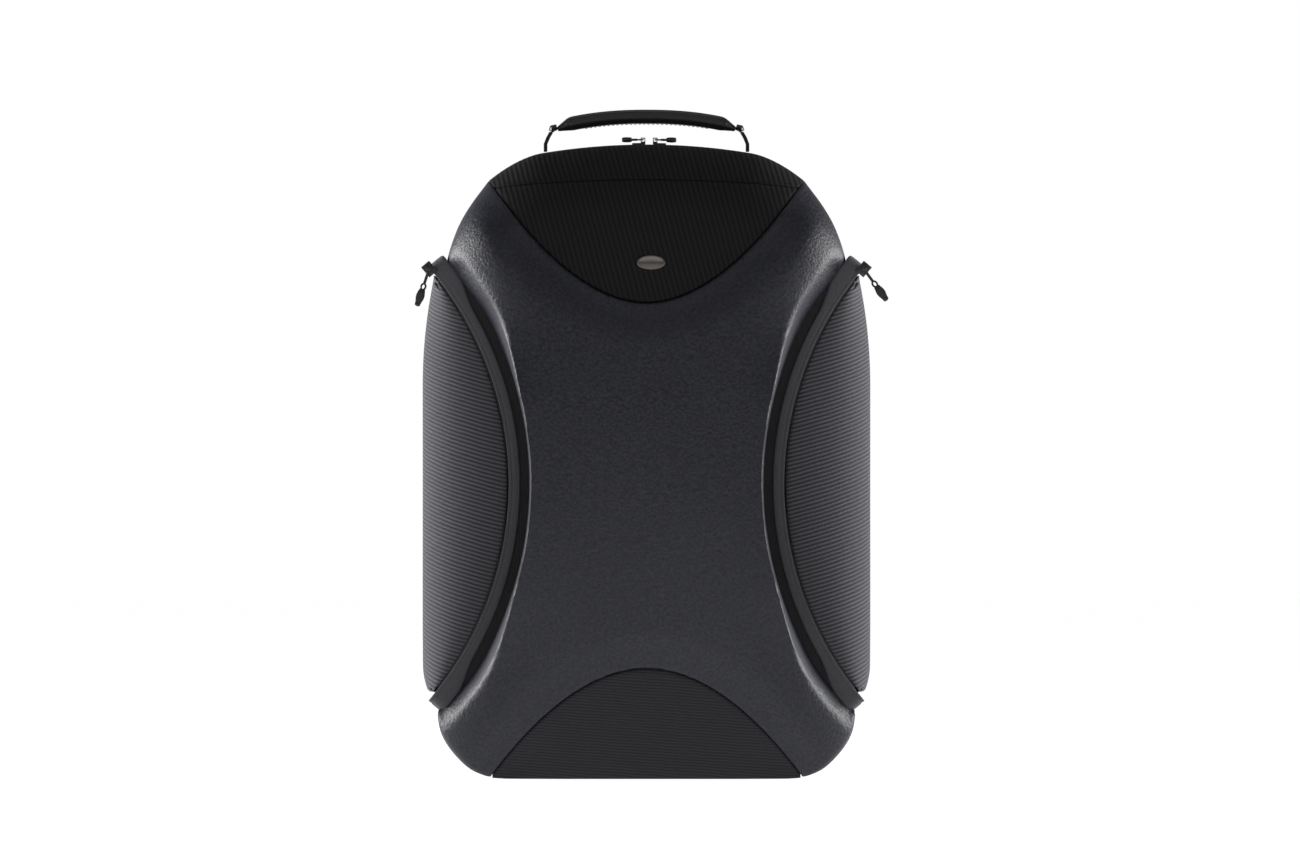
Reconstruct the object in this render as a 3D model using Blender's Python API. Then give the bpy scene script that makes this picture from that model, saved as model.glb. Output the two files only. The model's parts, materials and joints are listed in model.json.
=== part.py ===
"""Hard-shell backpack case for a small quadcopter.

Metres, +Z up. The case stands on its flat bottom at z = 0, its front faces -Y and its left
side is -X. The rear tub and the front lid meet in the plane y = ZIP_Y, where the main zip runs
over the top and down both sides. Depths in the lid are measured forward from that plane.
"""

import math

import bmesh
import bpy
import numpy as np
from mathutils import Matrix, Vector

MM = 0.001
GAP = 0.3 * MM

# Driving dimensions of the case
CASE_HEIGHT = 485 * MM
SHOULDER_X = 121 * MM
TOP_ARC_X = 80 * MM
TOP_FALL = 12.7 * MM
SHOULDER_Z = math.sqrt(CASE_HEIGHT ** 2 - SHOULDER_X ** 2) - TOP_FALL
ZIP_Y = -55 * MM
BACK_Y = 60 * MM
WALL = 4 * MM
SKIN = 3.5 * MM
BACK_ROUNDING = 25 * MM
RIM = 4.8 * MM

# Right-hand edge of the case from the flat bottom up to the shoulder, as (x, z)
SIDE_POINTS = [
    (108 * MM, 0.0), (121 * MM, 1.6 * MM), (138 * MM, 10 * MM), (155 * MM, 31 * MM),
    (160 * MM, 56 * MM), (163 * MM, 110 * MM), (163 * MM, 230 * MM), (159 * MM, 340 * MM),
    (153.5 * MM, 388 * MM), (146 * MM, 416 * MM), (136 * MM, 436 * MM),
    (SHOULDER_X, SHOULDER_Z),
]

# Front of the lid
CROWN_DEPTH = 118 * MM
CROWN_Z = 230 * MM
CROWN_FALL_LOW = 46 * MM
CROWN_FALL_HIGH = 28 * MM
SIDE_WALL_DEPTH = 60 * MM
TOP_WALL_DEPTH = 28 * MM
EDGE_ROUNDING = 52 * MM
SHOULDER_WIDTH = 12 * MM
LEDGE_WIDTH = 4 * MM
CREASE_SOFTNESS = 0.18
V_TIP_Z = 362 * MM
V_RISE = SHOULDER_Z - V_TIP_Z
LENS_TOP_Z = 85.5 * MM
LENS_HALF_WIDTH = 119 * MM
SEAM_Z = 456.5 * MM
SEAM_SAG = 6.5 * MM
PANEL_RECESS = 2.5 * MM
PANEL_GAP = 0.9 * MM
V_DIP = 8 * MM
LENS_DIP = 5 * MM
DIP_WIDTH = 30 * MM

# Side pockets: arcs about a centre line well outside the case
ARC_X = 358.5 * MM
ARC_Z = 225 * MM
SHELL_ARC = 265 * MM
SEAM_ARC = 253 * MM
ARC_GAP = 0.7 * MM
BAND_DEPTH = 62 * MM
BAND_THICKNESS = 2.5 * MM
COVER_ANGLE = math.radians(38)
COVER_ZIP_ANGLE = math.radians(30)
POCKET_ANGLE = math.radians(38.6)
BAND_ANGLE = math.radians(41.2)
PARK_ANGLE = math.radians(40.3)
COVER_X = 171.6 * MM
COVER_SKIN = 2.6 * MM
LINER_GAP = 1.4 * MM

# Carry handle
HANDLE_X = 78.5 * MM
HANDLE_Y = -10 * MM
FERRULE_X = 74 * MM
HANDLE_PIVOT_Z = 485.2 * MM
GRIP_Z = 509.5 * MM
GRIP_HALF_LENGTH = 68.5 * MM
GRIP_ARCH = 8 * MM

# Zip sliders, as angles on their tracks
MAIN_SLIDER_X = {"left": -6 * MM, "right": 10 * MM}
MAIN_EYE_X = 3.4 * MM
MAIN_EYE_HEIGHT = 4.8 * MM
SIDE_EYE_HEIGHT = 3.35 * MM
MAIN_LINK_LENGTH = 3.4 * MM
SIDE_LINK_LENGTH = 11 * MM
WIRE = 0.6 * MM
MAIN_TAB_LENGTH = 12.2 * MM
MAIN_TAB_THICKNESS = 3.8 * MM
SIDE_TAB_LENGTH = 18.5 * MM
SIDE_TAB_THICKNESS = 2.6 * MM


def smoothstep(t):
    t = min(1.0, max(0.0, t))
    return t * t * (3 - 2 * t)


def round_over(t):
    """Quarter circle rising from 0 at t = 0 to 1 at t = 1."""
    t = min(1.0, max(0.0, t))
    return math.sqrt(1 - (1 - t) ** 2)


def chamfer(t):
    """Straight rise from 0 at t = 0 to a soft crease at t = 1, then level at 1."""
    t = min(1 + CREASE_SOFTNESS, max(0.0, t))
    over = max(0.0, t - 1 + CREASE_SOFTNESS)
    return t - over * over / (4 * CREASE_SOFTNESS)


def smooth_path(points, steps):
    """Catmull-Rom curve through 2-D or 3-D points, with so many steps between two of them."""
    pts = [np.array(p, dtype=float) for p in points]
    pts = [2 * pts[0] - pts[1]] + pts + [2 * pts[-1] - pts[-2]]
    path = []
    for i in range(1, len(pts) - 2):
        a, b, c, d = pts[i - 1:i + 3]
        for k in range(steps):
            t = k / steps
            path.append(0.5 * (2 * b + (c - a) * t + (2 * a - 5 * b + 4 * c - d) * t ** 2
                               + (3 * b - a - 3 * c + d) * t ** 3))
    path.append(pts[-2])
    return path


def spaced(path, count):
    """The same path with count points at equal distances along it."""
    path = np.array(path)
    steps = np.linalg.norm(np.diff(path, axis=0), axis=1)
    along = np.concatenate([[0], np.cumsum(steps)])
    wanted = np.linspace(0, along[-1], count)
    return np.stack([np.interp(wanted, along, path[:, k]) for k in range(path.shape[1])], axis=1)


def top_z(x):
    """Top edge: an arc about the middle of the base line, which the main sliders follow."""
    x = min(abs(x), SHOULDER_X)
    beyond = max(0.0, x - TOP_ARC_X) / (SHOULDER_X - TOP_ARC_X)
    return math.sqrt(CASE_HEIGHT ** 2 - x ** 2) - TOP_FALL * beyond ** 1.8


def v_edge_z(x):
    return V_TIP_Z + V_RISE * (abs(x) / SHOULDER_X) ** 1.9


def lens_edge_z(x):
    return LENS_TOP_Z - (LENS_TOP_Z - 1.5 * MM) * (abs(x) / LENS_HALF_WIDTH) ** 1.94


def seam_z(x):
    return SEAM_Z - SEAM_SAG * (x / SHOULDER_X) ** 2


SIDE = smooth_path(SIDE_POINTS, 6)
TOP = [np.array((x, top_z(x))) for x in np.linspace(SHOULDER_X, 0, 18)]
EDGE = np.array(SIDE + TOP[1:])
V_EDGE = np.array([(x, v_edge_z(x)) for x in np.linspace(0, SHOULDER_X, 40)])
LENS_EDGE = np.array([(x, lens_edge_z(x)) for x in np.linspace(0, LENS_HALF_WIDTH, 40)])


def bottom_z(x):
    """Height of the lowest edge of the case at x: 0 on the flat, more in the corners."""
    corner = np.array(SIDE[:14])
    return float(np.interp(abs(x), corner[:, 0], corner[:, 1], left=0.0))


def nearest(line, x, z):
    """Distance from (|x|, z) to a polyline, and the direction towards it."""
    p = np.array((abs(x), z))
    a = line[:-1]
    span = line[1:] - a
    t = np.clip(((p - a) * span).sum(axis=1) / (span ** 2).sum(axis=1), 0, 1)
    foot = a + span * t[:, None]
    gaps = np.linalg.norm(foot - p, axis=1)
    i = int(gaps.argmin())
    away = (foot[i] - p) / gaps[i] if gaps[i] > 1e-6 else edge_normal(line, i)
    return float(gaps[i]), np.array((math.copysign(away[0], x if x else 1), away[1]))


def edge_normal(line, i):
    span = line[i + 1] - line[i]
    return np.array((span[1], -span[0])) / np.linalg.norm(span)


def case_outline(inset, count, low_x=None):
    """Right side, top and left side of the case, from one bottom corner to the other."""
    path = spaced(EDGE, count)
    if low_x is not None:
        path = spaced([p for p in EDGE if p[0] >= low_x or p[1] > 5 * MM], count)
    tangents = np.gradient(path, axis=0)
    normals = np.stack([tangents[:, 1], -tangents[:, 0]], axis=1)
    normals /= np.linalg.norm(normals, axis=1)[:, None]
    normals[-1] = (0, 1)
    path = path - normals * inset
    left = path[-2::-1] * np.array((-1, 1))
    return np.concatenate([path, left])


def lid_depth(x, z):
    """Depth of the plain, unrecessed lid surface in front of the zip plane."""
    gap, _ = nearest(EDGE, x, z)
    high = z > CROWN_Z
    fall = CROWN_FALL_HIGH if high else CROWN_FALL_LOW
    crown = CROWN_DEPTH - fall * ((z - CROWN_Z) / CROWN_Z) ** 2
    wall = SIDE_WALL_DEPTH
    wall += (TOP_WALL_DEPTH - SIDE_WALL_DEPTH) * smoothstep((z - 380 * MM) / (90 * MM))
    return wall + (crown - wall) * round_over(gap / EDGE_ROUNDING)


def panel_dip(x, z):
    """How far the surface sinks towards the V and lens shaped panels."""
    gap, _ = nearest(EDGE, x, z)
    fade = round_over(gap / DIP_WIDTH)
    to_v = 0.0 if z > v_edge_z(x) else nearest(V_EDGE, x, z)[0]
    to_lens = 0.0 if z < lens_edge_z(x) else nearest(LENS_EDGE, x, z)[0]
    dip = V_DIP * (1 - smoothstep(to_v / DIP_WIDTH))
    dip += LENS_DIP * (1 - smoothstep(to_lens / DIP_WIDTH))
    return dip * fade


def shell_depth(x, z):
    depth = lid_depth(x, z) - panel_dip(x, z)
    beside = math.hypot(ARC_X - abs(x), z - ARC_Z) - SHELL_ARC - LEDGE_WIDTH
    ledge = BAND_DEPTH - 1 * MM
    if depth > ledge:
        depth = ledge + (depth - ledge) * chamfer(beside / SHOULDER_WIDTH)
    return depth


def panel_depth(x, z):
    gap, _ = nearest(EDGE, x, z)
    recess = PANEL_RECESS * round_over(gap / DIP_WIDTH)
    return lid_depth(x, z) - panel_dip(x, z) - recess


def inner_xz(x, z):
    """Where the inside of the lid skin lies behind the outer point (x, z)."""
    gap, away = nearest(EDGE, x, z)
    shift = away * SKIN * max(0.0, 1 - gap / (12 * MM))
    to_arc = np.array((ARC_X - abs(x), ARC_Z - z))
    reach = np.linalg.norm(to_arc)
    beside = max(0.0, reach - SHELL_ARC)
    side = math.copysign(1, x)
    shift = shift + to_arc / reach * (side, 1) * SKIN * max(0.0, 1 - beside / (12 * MM))
    return x - shift[0], z - shift[1]


# Scene, materials and joints

def clear_scene():
    for item in list(bpy.data.objects):
        bpy.data.objects.remove(item, do_unlink=True)


def material(name, colour, roughness, metallic=0.0):
    mat = bpy.data.materials.new(name)
    mat.use_nodes = True
    shader = mat.node_tree.nodes["Principled BSDF"]
    shader.inputs["Base Color"].default_value = (*colour, 1)
    shader.inputs["Roughness"].default_value = roughness
    shader.inputs["Metallic"].default_value = metallic
    mat.diffuse_color = (*colour, 1)
    return mat


PIVOTS = {}


def pivot(name, location, parent=None):
    """An empty on a joint's axis. Location is in world coordinates."""
    empty = bpy.data.objects.new(f"{name}_axis", None)
    bpy.context.scene.collection.objects.link(empty)
    base = PIVOTS[parent]["at"] if parent else Vector((0, 0, 0))
    empty.location = Vector(location) - base
    empty.empty_display_size = 20 * MM
    if parent:
        empty.parent = PIVOTS[parent]["empty"]
    PIVOTS[name] = {"empty": empty, "at": Vector(location)}


def add(name, mesh, mat, on="case", smooth=None):
    """Name a world-space mesh, hang it on its pivot and shade it."""
    mesh.name = name
    mesh.materials.clear()
    mesh.materials.append(mat)
    item = bpy.data.objects.new(name, mesh)
    bpy.context.scene.collection.objects.link(item)
    mesh.transform(Matrix.Translation(-PIVOTS[on]["at"]))
    item.parent = PIVOTS[on]["empty"]
    if smooth:
        mesh.shade_smooth()
        mesh.set_sharp_from_angle(angle=math.radians(smooth))
    return item


def finished(bm):
    bmesh.ops.recalc_face_normals(bm, faces=bm.faces)
    mesh = bpy.data.meshes.new("solid")
    bm.to_mesh(mesh)
    bm.free()
    return mesh


# Solids

def thick_sheet(outer, inner):
    """Closed solid between two grids of points that have the same rows and columns."""
    bm = bmesh.new()
    front = [[bm.verts.new(p) for p in row] for row in outer]
    back = [[bm.verts.new(p) for p in row] for row in inner]
    rows, cols = len(front), len(front[0])
    for i in range(rows - 1):
        for j in range(cols - 1):
            corners = ((i, j), (i, j + 1), (i + 1, j + 1), (i + 1, j))
            bm.faces.new([front[r][c] for r, c in corners])
            bm.faces.new([back[r][c] for r, c in reversed(corners)])
    border = [(0, j) for j in range(cols)] + [(i, cols - 1) for i in range(1, rows)]
    border += [(rows - 1, j) for j in range(cols - 2, -1, -1)]
    border += [(i, 0) for i in range(rows - 2, 0, -1)]
    for (r, c), (r2, c2) in zip(border, border[1:] + border[:1]):
        bm.faces.new((front[r][c], back[r][c], back[r2][c2], front[r2][c2]))
    return finished(bm)


def rings_solid(rings, cap_ends=True):
    """Skin over a row of closed rings, with a flat cap on both ends."""
    bm = bmesh.new()
    loops = [[bm.verts.new(p) for p in ring] for ring in rings]
    for a, b in zip(loops, loops[1:]):
        for k in range(len(a)):
            m = (k + 1) % len(a)
            bm.faces.new((a[k], a[m], b[m], b[k]))
    if cap_ends:
        bm.faces.new(loops[0])
        bm.faces.new(loops[-1])
    else:
        for k in range(len(loops[0])):
            m = (k + 1) % len(loops[0])
            bm.faces.new((loops[-1][k], loops[-1][m], loops[0][m], loops[0][k]))
    return finished(bm)


def prism_y(points, y0, y1):
    return rings_solid([[(x, y, z) for x, z in points] for y in (y0, y1)])


def box(low, high):
    bm = bmesh.new()
    bmesh.ops.create_cube(bm, size=1)
    size = Vector(high) - Vector(low)
    bmesh.ops.scale(bm, vec=size, verts=bm.verts)
    bmesh.ops.translate(bm, vec=(Vector(high) + Vector(low)) / 2, verts=bm.verts)
    return finished(bm)


def rounded(item, width, segments=2):
    bevel = item.modifiers.new("Bevel", "BEVEL")
    bevel.width = width
    bevel.segments = segments
    bevel.limit_method = "ANGLE"
    return item


def tube(path, radii, sides, squash=1.0):
    """Round or flattened bar along a path. squash scales it along Y."""
    path = [Vector(p) for p in path]
    rings = []
    for i, (p, r) in enumerate(zip(path, radii)):
        ahead = path[min(i + 1, len(path) - 1)] - path[max(i - 1, 0)]
        across = Vector((0, 1, 0))
        up = ahead.normalized().cross(across).normalized()
        ring = []
        for k in range(sides):
            a = math.tau * k / sides
            ring.append(p + up * r * math.cos(a) + across * r * squash * math.sin(a))
        rings.append(ring)
    return rings_solid(rings)


def ribbon(path, across, width, thickness):
    """Flat strap along a path; across is the direction of its width."""
    path = [Vector(p) for p in path]
    across = Vector(across).normalized()
    outer, inner = [], []
    for i, p in enumerate(path):
        ahead = path[min(i + 1, len(path) - 1)] - path[max(i - 1, 0)]
        up = ahead.normalized().cross(across).normalized()
        half = width[i] / 2 if hasattr(width, "__len__") else width / 2
        outer.append([p + up * thickness / 2 - across * half, p + up * thickness / 2 + across * half])
        inner.append([p - up * thickness / 2 - across * half, p - up * thickness / 2 + across * half])
    return thick_sheet(outer, inner)


def combined(meshes, operation="UNION"):
    """One mesh from several overlapping ones, or the first with the others cut away."""
    items = []
    for mesh in meshes:
        item = bpy.data.objects.new("piece", mesh)
        bpy.context.scene.collection.objects.link(item)
        items.append(item)
    for other in items[1:]:
        cut = items[0].modifiers.new("Boolean", "BOOLEAN")
        cut.operation = operation
        cut.object = other
        cut.solver = "EXACT"
    graph = bpy.context.evaluated_depsgraph_get()
    mesh = bpy.data.meshes.new_from_object(items[0].evaluated_get(graph))
    for item in items:
        bpy.data.objects.remove(item, do_unlink=True)
    return mesh


# Rear half

def make_rear_tub(mat):
    count = 29

    def ring(inset, y):
        points = [(x, z) for x, z in case_outline(inset, count)]
        if inset > 0:
            points = [(x, max(z, inset)) for x, z in points]
        return [(x, y, z) for x, z in points]

    def profile(extra):
        radius = BACK_ROUNDING - extra
        start = BACK_Y - BACK_ROUNDING
        rings = [ring(extra, ZIP_Y + RIM + GAP)]
        for k in range(4):
            a = math.radians(90 * k / 3)
            rings.append(ring(extra + radius * (1 - math.cos(a)), start + radius * math.sin(a)))
        return rings

    bm = bmesh.new()
    outer = [[bm.verts.new(p) for p in r] for r in profile(0.0)]
    inner = [[bm.verts.new(p) for p in r] for r in profile(WALL)]
    for loops in (outer, inner):
        for a, b in zip(loops, loops[1:]):
            for k in range(len(a)):
                m = (k + 1) % len(a)
                bm.faces.new((a[k], a[m], b[m], b[k]))
        bm.faces.new(loops[-1])
    for k in range(len(outer[0])):
        m = (k + 1) % len(outer[0])
        bm.faces.new((outer[0][k], outer[0][m], inner[0][m], inner[0][k]))
    add("rear_tub", finished(bm), mat, smooth=40)


def make_back_sheets(plastic, foam):
    y = BACK_Y - WALL - GAP
    sheet = [(x, max(z, 32 * MM)) for x, z in case_outline(32 * MM, 14)]
    add("back_frame_sheet", prism_y(sheet, y - 2 * MM, y), plastic)
    base = [(x, max(z, 27 * MM)) for x, z in case_outline(27 * MM, 14)]
    add("base_foam", prism_y(base, FOAM_BACK_Y + GAP, y - 2 * MM - GAP), foam)


FOAM_FRONT_Y = ZIP_Y + 7 * MM
FOAM_BACK_Y = BACK_Y - BACK_ROUNDING - GAP
FOAM_RING_INSET = WALL + 1.0 * MM
FOAM_RING_WIDTH = 7 * MM
SHELF_LOW_Z = (74 * MM, 82 * MM)
SHELF_HIGH_Z = (380 * MM, 388 * MM)
SHELF_HALF_WIDTH = 138 * MM


def make_foam(foam, divider):
    """Padded ring, shelves and wedge blocks that leave an X-shaped drone bay."""
    rings = []
    for inset in (FOAM_RING_INSET, FOAM_RING_INSET + FOAM_RING_WIDTH):
        rings.append([(x, max(z, inset)) for x, z in case_outline(inset, 29)])
    outer, inner = rings
    loops = [[(x, y, z) for x, z in ring] for ring, y in (
        (outer, FOAM_FRONT_Y), (outer, FOAM_BACK_Y), (inner, FOAM_BACK_Y), (inner, FOAM_FRONT_Y))]
    add("foam_wall", rings_solid(loops, cap_ends=False), foam)

    y0, y1 = FOAM_FRONT_Y, FOAM_BACK_Y
    for name, (low, high) in (("bottom_divider", SHELF_LOW_Z), ("top_divider", SHELF_HIGH_Z)):
        add(name, box((-SHELF_HALF_WIDTH, y0, low), (SHELF_HALF_WIDTH, y1, high)), divider)
    ring_top = FOAM_RING_INSET + FOAM_RING_WIDTH + GAP
    for i, x in enumerate((-52 * MM, 0.0, 52 * MM)):
        low = (x - 4 * MM, y0, ring_top)
        add(f"battery_divider_{i + 1}", box(low, (x + 4 * MM, y1, SHELF_LOW_Z[0] - GAP)), divider)

    # Wedges: the wide foot is against the ring or a shelf, the narrow end faces the drone body
    centre = (SHELF_LOW_Z[1] + SHELF_HIGH_Z[0]) / 2
    reach = (SHELF_HIGH_Z[0] - SHELF_LOW_Z[1]) / 2 - GAP
    side = 148 * MM
    upright = [(-62, 0), (62, 0), (34, 62), (-34, 62)]
    for name, sign in (("cradle_bottom", 1), ("cradle_top", -1)):
        points = [(x * MM, centre - sign * (reach - h * MM)) for x, h in upright]
        add(name, prism_y(points, y0, y1), foam)
    for name, sign in (("cradle_left", -1), ("cradle_right", 1)):
        points = [(sign * (side - h * MM), centre + x * MM) for x, h in upright]
        add(name, prism_y(points, y0, y1), foam)


def edge_strip(name, mat, y0, y1, on):
    """Zip tape and bead that follow the rim of the case, over the top and down both sides."""
    outer_line = case_outline(0.6 * MM, 30, low_x=119 * MM)
    inner_line = case_outline(3.0 * MM, 30, low_x=119 * MM)
    outer = [[(x, y0, z), (x, y1, z)] for x, z in outer_line]
    inner = [[(x, y0, z), (x, y1, z)] for x, z in inner_line]
    add(name, thick_sheet(outer, inner), mat, on=on)


def make_main_zip(tape, webbing):
    half_slot = 0.8 * MM
    edge_strip("main_zip_case", tape, ZIP_Y + half_slot, ZIP_Y + RIM, "case")
    edge_strip("main_zip_lid", tape, ZIP_Y - RIM, ZIP_Y - half_slot, "lid")
    x = 106 * MM
    case_low = (-x, ZIP_Y + 0.2 * MM, 0.0)
    add("hinge_strip_case", box(case_low, (x, ZIP_Y + RIM, 3 * MM)), webbing)
    lid_low = (-x, ZIP_Y - RIM, 0.0)
    add("hinge_strip_lid", box(lid_low, (x, ZIP_Y - 0.2 * MM, 3 * MM)), webbing, on="lid")


# Lid

def lid_point(x, z, depth):
    return (x, ZIP_Y - depth, z)


def eased(count, lead=0.5):
    """Numbers from 0 to 1 that crowd towards both ends."""
    steps = [i / (count - 1) for i in range(count)]
    return [(1 - lead) * t + lead * (0.5 - 0.5 * math.cos(math.pi * t)) for t in steps]


def shell_side():
    """Right-hand edge of the front shell: case corner, pocket arc, case shoulder."""
    low_turn = math.asin((ARC_Z - 54.5 * MM) / SHELL_ARC)
    high_turn = math.asin((388 * MM - ARC_Z) / SHELL_ARC)
    arc = []
    for k in range(31):
        a = -low_turn + (low_turn + high_turn) * k / 30
        arc.append((ARC_X - SHELL_ARC * math.cos(a), ARC_Z + SHELL_ARC * math.sin(a)))
    low = [p for p in SIDE if LENS_HALF_WIDTH < p[0] and p[1] < 53 * MM]
    high = [p for p in SIDE if p[1] > 390 * MM]
    start = (LENS_HALF_WIDTH, lens_edge_z(LENS_HALF_WIDTH))
    return (spaced([start] + low + [arc[0]], 6), spaced(arc, 18), spaced([arc[-1]] + high, 6))


def make_front_shell(mat):
    low, arc, high = shell_side()
    right = np.concatenate([low, arc[1:], high[1:]])
    lengths = np.linalg.norm(np.diff(right, axis=0), axis=1)
    rises = np.concatenate([[0], np.cumsum(lengths)]) / lengths.sum()
    across = [math.sin(math.radians(90) * (2 * i / 20 - 1)) for i in range(21)]
    outer, inner = [], []
    for (edge_x, edge_z), v in zip(right, rises):
        row = []
        for s in across:
            u = (s + 1) / 2
            low_x, high_x = s * LENS_HALF_WIDTH, s * SHOULDER_X
            x = (1 - v) * low_x + v * high_x + s * (edge_x - ((1 - v) * LENS_HALF_WIDTH + v * SHOULDER_X))
            corner_z = (1 - v) * right[0][1] + v * right[-1][1]
            z = (1 - v) * lens_edge_z(low_x) + v * v_edge_z(high_x) + edge_z - corner_z
            row.append((x, z))
        tops = [(x, z, shell_depth(x, z)) for x, z in row]
        lip = 4 * MM if v in (0.0, 1.0) else 0.0
        unders = [(*inner_xz(x, z), max(6 * MM, d - SKIN - lip)) for x, z, d in tops]
        foot = RIM + GAP
        outer.append([lid_point(tops[0][0], tops[0][1], foot)] + [lid_point(*p) for p in tops]
                     + [lid_point(tops[-1][0], tops[-1][1], foot)])
        inner.append([lid_point(unders[0][0], unders[0][1], foot)] + [lid_point(*p) for p in unders]
                     + [lid_point(unders[-1][0], unders[-1][1], foot)])
    add("front_shell", thick_sheet(outer, inner), mat, on="lid", smooth=50)


def panel(name, mat, low_line, high_line, half_width, rows, cols, wall_at):
    """Lid panel between two lines; wall_at says which of them has a wall back to the zip."""
    outer, inner = [], []
    foot = RIM + GAP
    for v in eased(rows):
        line = []
        for t in eased(cols, 0.35):
            x = half_width * (2 * t - 1)
            line.append((x, (1 - v) * low_line(x) + v * high_line(x)))
        outer.append([lid_point(x, z, panel_depth(x, z)) for x, z in line])
        inner.append([lid_point(*inner_xz(x, z), panel_depth(x, z) - SKIN) for x, z in line])
    row = 0 if wall_at == "low" else -1
    wall_outer = [(x, ZIP_Y - foot, z) for x, _, z in outer[row]]
    wall_inner = [(x, ZIP_Y - foot, z) for x, _, z in inner[row]]
    if wall_at == "low":
        inner[0] = [(x, y, z + SKIN) for x, y, z in inner[0]]
        wall_inner = [(x, ZIP_Y - foot, z) for x, _, z in inner[0]]
        outer.insert(0, wall_outer)
        inner.insert(0, wall_inner)
    elif wall_at == "high":
        outer.append(wall_outer)
        inner.append(wall_inner)
    add(name, thick_sheet(outer, inner), mat, on="lid", smooth=50)


def make_panels(mesh_fabric, metal):
    panel("top_panel", mesh_fabric, lambda x: v_edge_z(x) + PANEL_GAP, lambda x: seam_z(x) - GAP,
          114 * MM, 8, 19, "none")
    panel("top_cap", mesh_fabric, lambda x: max(seam_z(x) + GAP, v_edge_z(x) + PANEL_GAP),
          lambda x: top_z(x) - GAP, 117 * MM, 8, 19, "high")
    panel("bottom_panel", mesh_fabric, bottom_z, lambda x: lens_edge_z(x) - PANEL_GAP,
          113 * MM, 9, 19, "low")
    # Plain oval badge plate on the top panel
    x0, z0 = 3.5 * MM, 393 * MM
    depth = panel_depth(x0, z0)
    ring = []
    for k in range(24):
        a = math.tau * k / 24
        ring.append((x0 + 11 * MM * math.cos(a), z0 + 5.5 * MM * math.sin(a)))
    slope = (panel_depth(x0, z0 + 5 * MM) - panel_depth(x0, z0 - 5 * MM)) / (10 * MM)
    rings = []
    for lift in (1.0 * MM, 2.4 * MM):
        rings.append([lid_point(x, z, depth + slope * (z - z0) + lift) for x, z in ring])
    add("badge", rings_solid(rings), metal, on="lid")


def arc_point(radius, angle, side):
    return side * (ARC_X - radius * math.cos(angle)), ARC_Z + radius * math.sin(angle)


def cover_edge_x(z):
    """Outermost x of a pocket cover at height z."""
    x = COVER_X - 10 * MM * (max(0.0, z - 300 * MM) / (90 * MM)) ** 2
    return x - 3.6 * MM * (max(0.0, 85 * MM - z) / (19 * MM)) ** 2


def turned(low, high, count):
    return [low + (high - low) * i / (count - 1) for i in range(count)]


def arc_strip(name, mat, radii, depths, angle, side, on, count=19):
    outer, inner = [], []
    for a in turned(-angle, angle, count):
        ends = [arc_point(r, a, side) for r in radii]
        outer.append([lid_point(x, z, depths[1]) for x, z in ends])
        inner.append([lid_point(x, z, depths[0]) for x, z in ends])
    add(name, thick_sheet(outer, inner), mat, on=on)


def make_pocket(side, word, fabric, tape, lining):
    lid_line = SEAM_ARC + 0.9 * MM
    cover_line = SEAM_ARC - 0.9 * MM
    arc_strip(f"pocket_band_{word}", tape, (lid_line, SHELL_ARC - ARC_GAP),
              (BAND_DEPTH - BAND_THICKNESS, BAND_DEPTH + 0.5 * MM), BAND_ANGLE, side, "lid")
    arc_strip(f"cover_zip_{word}", tape, (cover_line - 3 * MM, cover_line),
              (BAND_DEPTH - COVER_SKIN - 2.4 * MM, BAND_DEPTH - COVER_SKIN - 3 * GAP),
              COVER_ZIP_ANGLE, side, f"cover_{word}")

    foot = RIM + GAP
    outer, inner = [], []
    for a in turned(-COVER_ANGLE, COVER_ANGLE, 17):
        front_x, z = arc_point(cover_line, a, 1)
        back_x = cover_edge_x(z)
        bend = [math.radians(90 * k / 7) for k in range(8)]
        out_row, in_row = [], []
        for b in bend:
            x = front_x + (back_x - front_x) * math.sin(b)
            depth = foot + (BAND_DEPTH - foot) * math.cos(b) ** 0.85
            out_row.append(lid_point(side * x, z, depth))
            x = front_x + (back_x - COVER_SKIN - front_x) * math.sin(b)
            depth = foot + (BAND_DEPTH - COVER_SKIN - foot) * math.cos(b) ** 0.85
            in_row.append(lid_point(side * x, z, depth))
        outer.append(out_row)
        inner.append(in_row)
    add(f"side_cover_{word}", thick_sheet(outer, inner), fabric, on=f"cover_{word}", smooth=50)

    # Liner: back wall of the pocket, turned forward at both ends to close them
    sheet = 1.6 * MM
    top = BAND_DEPTH - BAND_THICKNESS - GAP
    outer, inner = [], []

    def liner_row(a, depth, shrink, lift):
        near = arc_point(SHELL_ARC - ARC_GAP, a, 1)
        z = ARC_Z + (SEAM_ARC - 0.9 * MM) * math.sin(a)
        far = (cover_edge_x(z) - COVER_SKIN - LINER_GAP, z)
        b = a * (1 - shrink)
        near_in = arc_point(SHELL_ARC - ARC_GAP, b, 1)
        z_in = ARC_Z + (SEAM_ARC - 0.9 * MM) * math.sin(b)
        far_in = (cover_edge_x(z_in) - COVER_SKIN - LINER_GAP, z_in)
        outer.append([lid_point(side * x, zz, depth) for x, zz in (near, far)])
        inner.append([lid_point(side * x, zz, depth + lift) for x, zz in (near_in, far_in)])

    turn_in = 0.0105
    liner_row(-POCKET_ANGLE, top, turn_in, 0.0)
    liner_row(-POCKET_ANGLE, foot, turn_in, sheet)
    for a in turned(-POCKET_ANGLE * 0.93, POCKET_ANGLE * 0.93, 13):
        liner_row(a, foot, 0.0, sheet)
    liner_row(POCKET_ANGLE, foot, turn_in, sheet)
    liner_row(POCKET_ANGLE, top, turn_in, 0.0)
    add(f"pocket_liner_{word}", thick_sheet(outer, inner), lining, on="lid")


# Zip sliders and pulls. Each is made lying along X with +Z away from the case, its travel along X.

def bar(radius, low, high, sides=12):
    """Round bar along Z."""
    ring = [(radius * math.cos(math.tau * k / sides), radius * math.sin(math.tau * k / sides))
            for k in range(sides)]
    return rings_solid([[(x, y, z) for x, y in ring] for z in (low, high)])


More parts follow.
